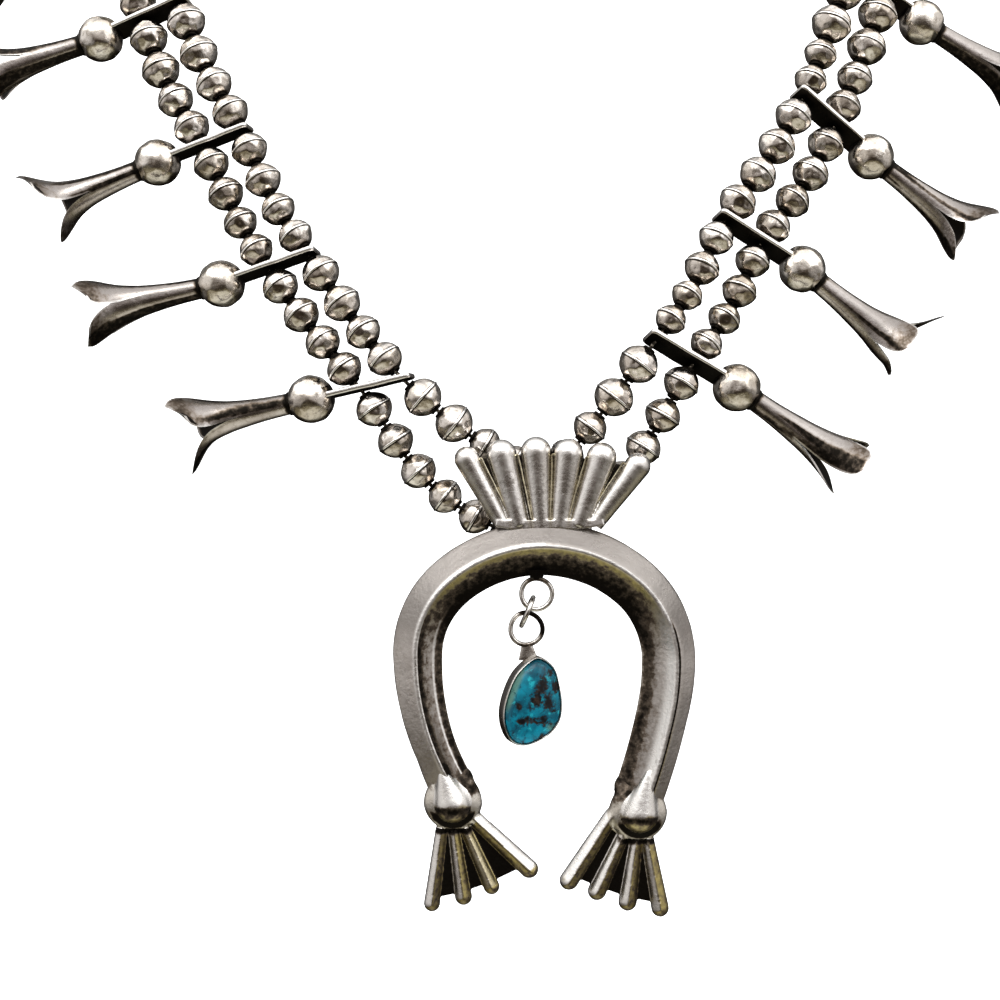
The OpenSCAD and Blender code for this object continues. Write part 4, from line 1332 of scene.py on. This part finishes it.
def area(name, at, size, power, colour):
    """A rectangular light that aims at the middle of the necklace."""
    light = bpy.data.lights.new(name, "AREA")
    light.shape = "RECTANGLE"
    light.size, light.size_y = size
    light.energy = power
    light.color = colour
    o = bpy.data.objects.new(name, light)
    bpy.context.scene.collection.objects.link(o)
    o.location = at
    o.rotation_euler = (Vector((0, -0.1, -0.16)) - Vector(at)).to_track_quat("-Z", "Y").to_euler()


area("key", (-0.25, -0.75, 0.55), (0.6, 0.42), 2.4, (1.0, 0.99, 0.97))
area("fill", (0.55, -0.7, 0.2), (0.5, 0.6), 0.8, (0.97, 0.98, 1.0))

# The room that only reflections see, from straight below to straight above: share of the height, colour
ROOM = (
    (0.0, (0.80, 0.78, 0.68)), (0.09, (0.66, 0.63, 0.52)), (0.17, (0.26, 0.23, 0.15)),
    (0.25, (0.045, 0.034, 0.020)), (0.34, (0.022, 0.015, 0.010)), (0.43, (0.10, 0.078, 0.060)),
    (0.51, (0.32, 0.29, 0.27)), (0.62, (0.52, 0.485, 0.47)), (0.72, (1.1, 1.08, 1.05)),
    (0.84, (2.3, 2.27, 2.24)), (1.0, (1.3, 1.27, 1.25)),
)
SIDE_WALL = rgb(0.78, 0.745, 0.715)
BACKDROP = rgb(0.95, 0.95, 0.95)


def world():
    """Soft light: a bright ceiling, a grey room in front, a dark band under it and a dull pale
    table below; the room behind the object is dim. Only reflections see it."""
    w = bpy.data.worlds.new("studio")
    bpy.context.scene.world = w
    w.use_nodes = True
    tree = w.node_tree
    tree.nodes.clear()

    def node(kind, inputs=None, **props):
        return add_node(tree, kind, inputs, **props)

    def ramp(value, low, high, to_low=0.0, to_high=1.0, kind="LINEAR"):
        inputs = {"Value": value, "From Min": low, "From Max": high, "To Min": to_low, "To Max": to_high}
        return node("MapRange", inputs, interpolation_type=kind).outputs["Result"]

    direction = node("TexCoord").outputs["Generated"]
    parts = node("SeparateXYZ", {0: direction}).outputs
    grain = node("TexNoise", {"Vector": direction, "Scale": 2.6, "Detail": 3.0}).outputs["Fac"]
    level = node("Math", {0: grain, 1: 0.30, 2: parts["Z"]}, operation="MULTIPLY_ADD").outputs[0]
    colours = node("ValToRGB", {0: ramp(level, -0.85, 1.15)})
    stops = colours.color_ramp.elements
    while len(stops) < len(ROOM):
        stops.new(0.5)
    for stop, (position, colour) in zip(stops, ROOM):
        stop.position = position
        stop.color = (*colour, 1)
    sideways = node("Math", {0: parts["X"]}, operation="ABSOLUTE").outputs[0]
    shares = {0: ramp(sideways, 0.42, 0.8), 1: ramp(parts["Z"], -0.55, 0.05)}
    wall = node("Math", shares, operation="MULTIPLY").outputs[0]
    mixed = {0: wall, 6: colours.outputs["Color"], 7: SIDE_WALL}
    walls = node("Mix", mixed, data_type="RGBA", blend_type="LIGHTEN").outputs[2]
    behind = ramp(parts["Y"], 0.05, 0.6, 1.0, 0.14, "SMOOTHSTEP")
    glossy = node("Background", {"Color": walls, "Strength": behind}).outputs[0]
    plain = node("Background", {"Color": BACKDROP, "Strength": 1.0}).outputs[0]
    seen = node("LightPath").outputs["Is Glossy Ray"]
    node("OutputWorld", {"Surface": node("MixShader", {0: seen, 1: plain, 2: glossy}).outputs[0]})


world()

# The camera, in chest millimetres
CAMERA_AT = (-8, -350, 0)

camera = bpy.data.cameras.new("camera")
camera.lens = 63
camera.sensor_width = 36
camera.clip_start = 0.01
eye = bpy.data.objects.new("camera", camera)
bpy.context.scene.collection.objects.link(eye)
eye.location = place([CAMERA_AT])[0]
eye.rotation_euler = (math.radians(90), 0, 0)
bpy.context.scene.camera = eye
bpy.context.scene.view_settings.view_transform = "Standard"
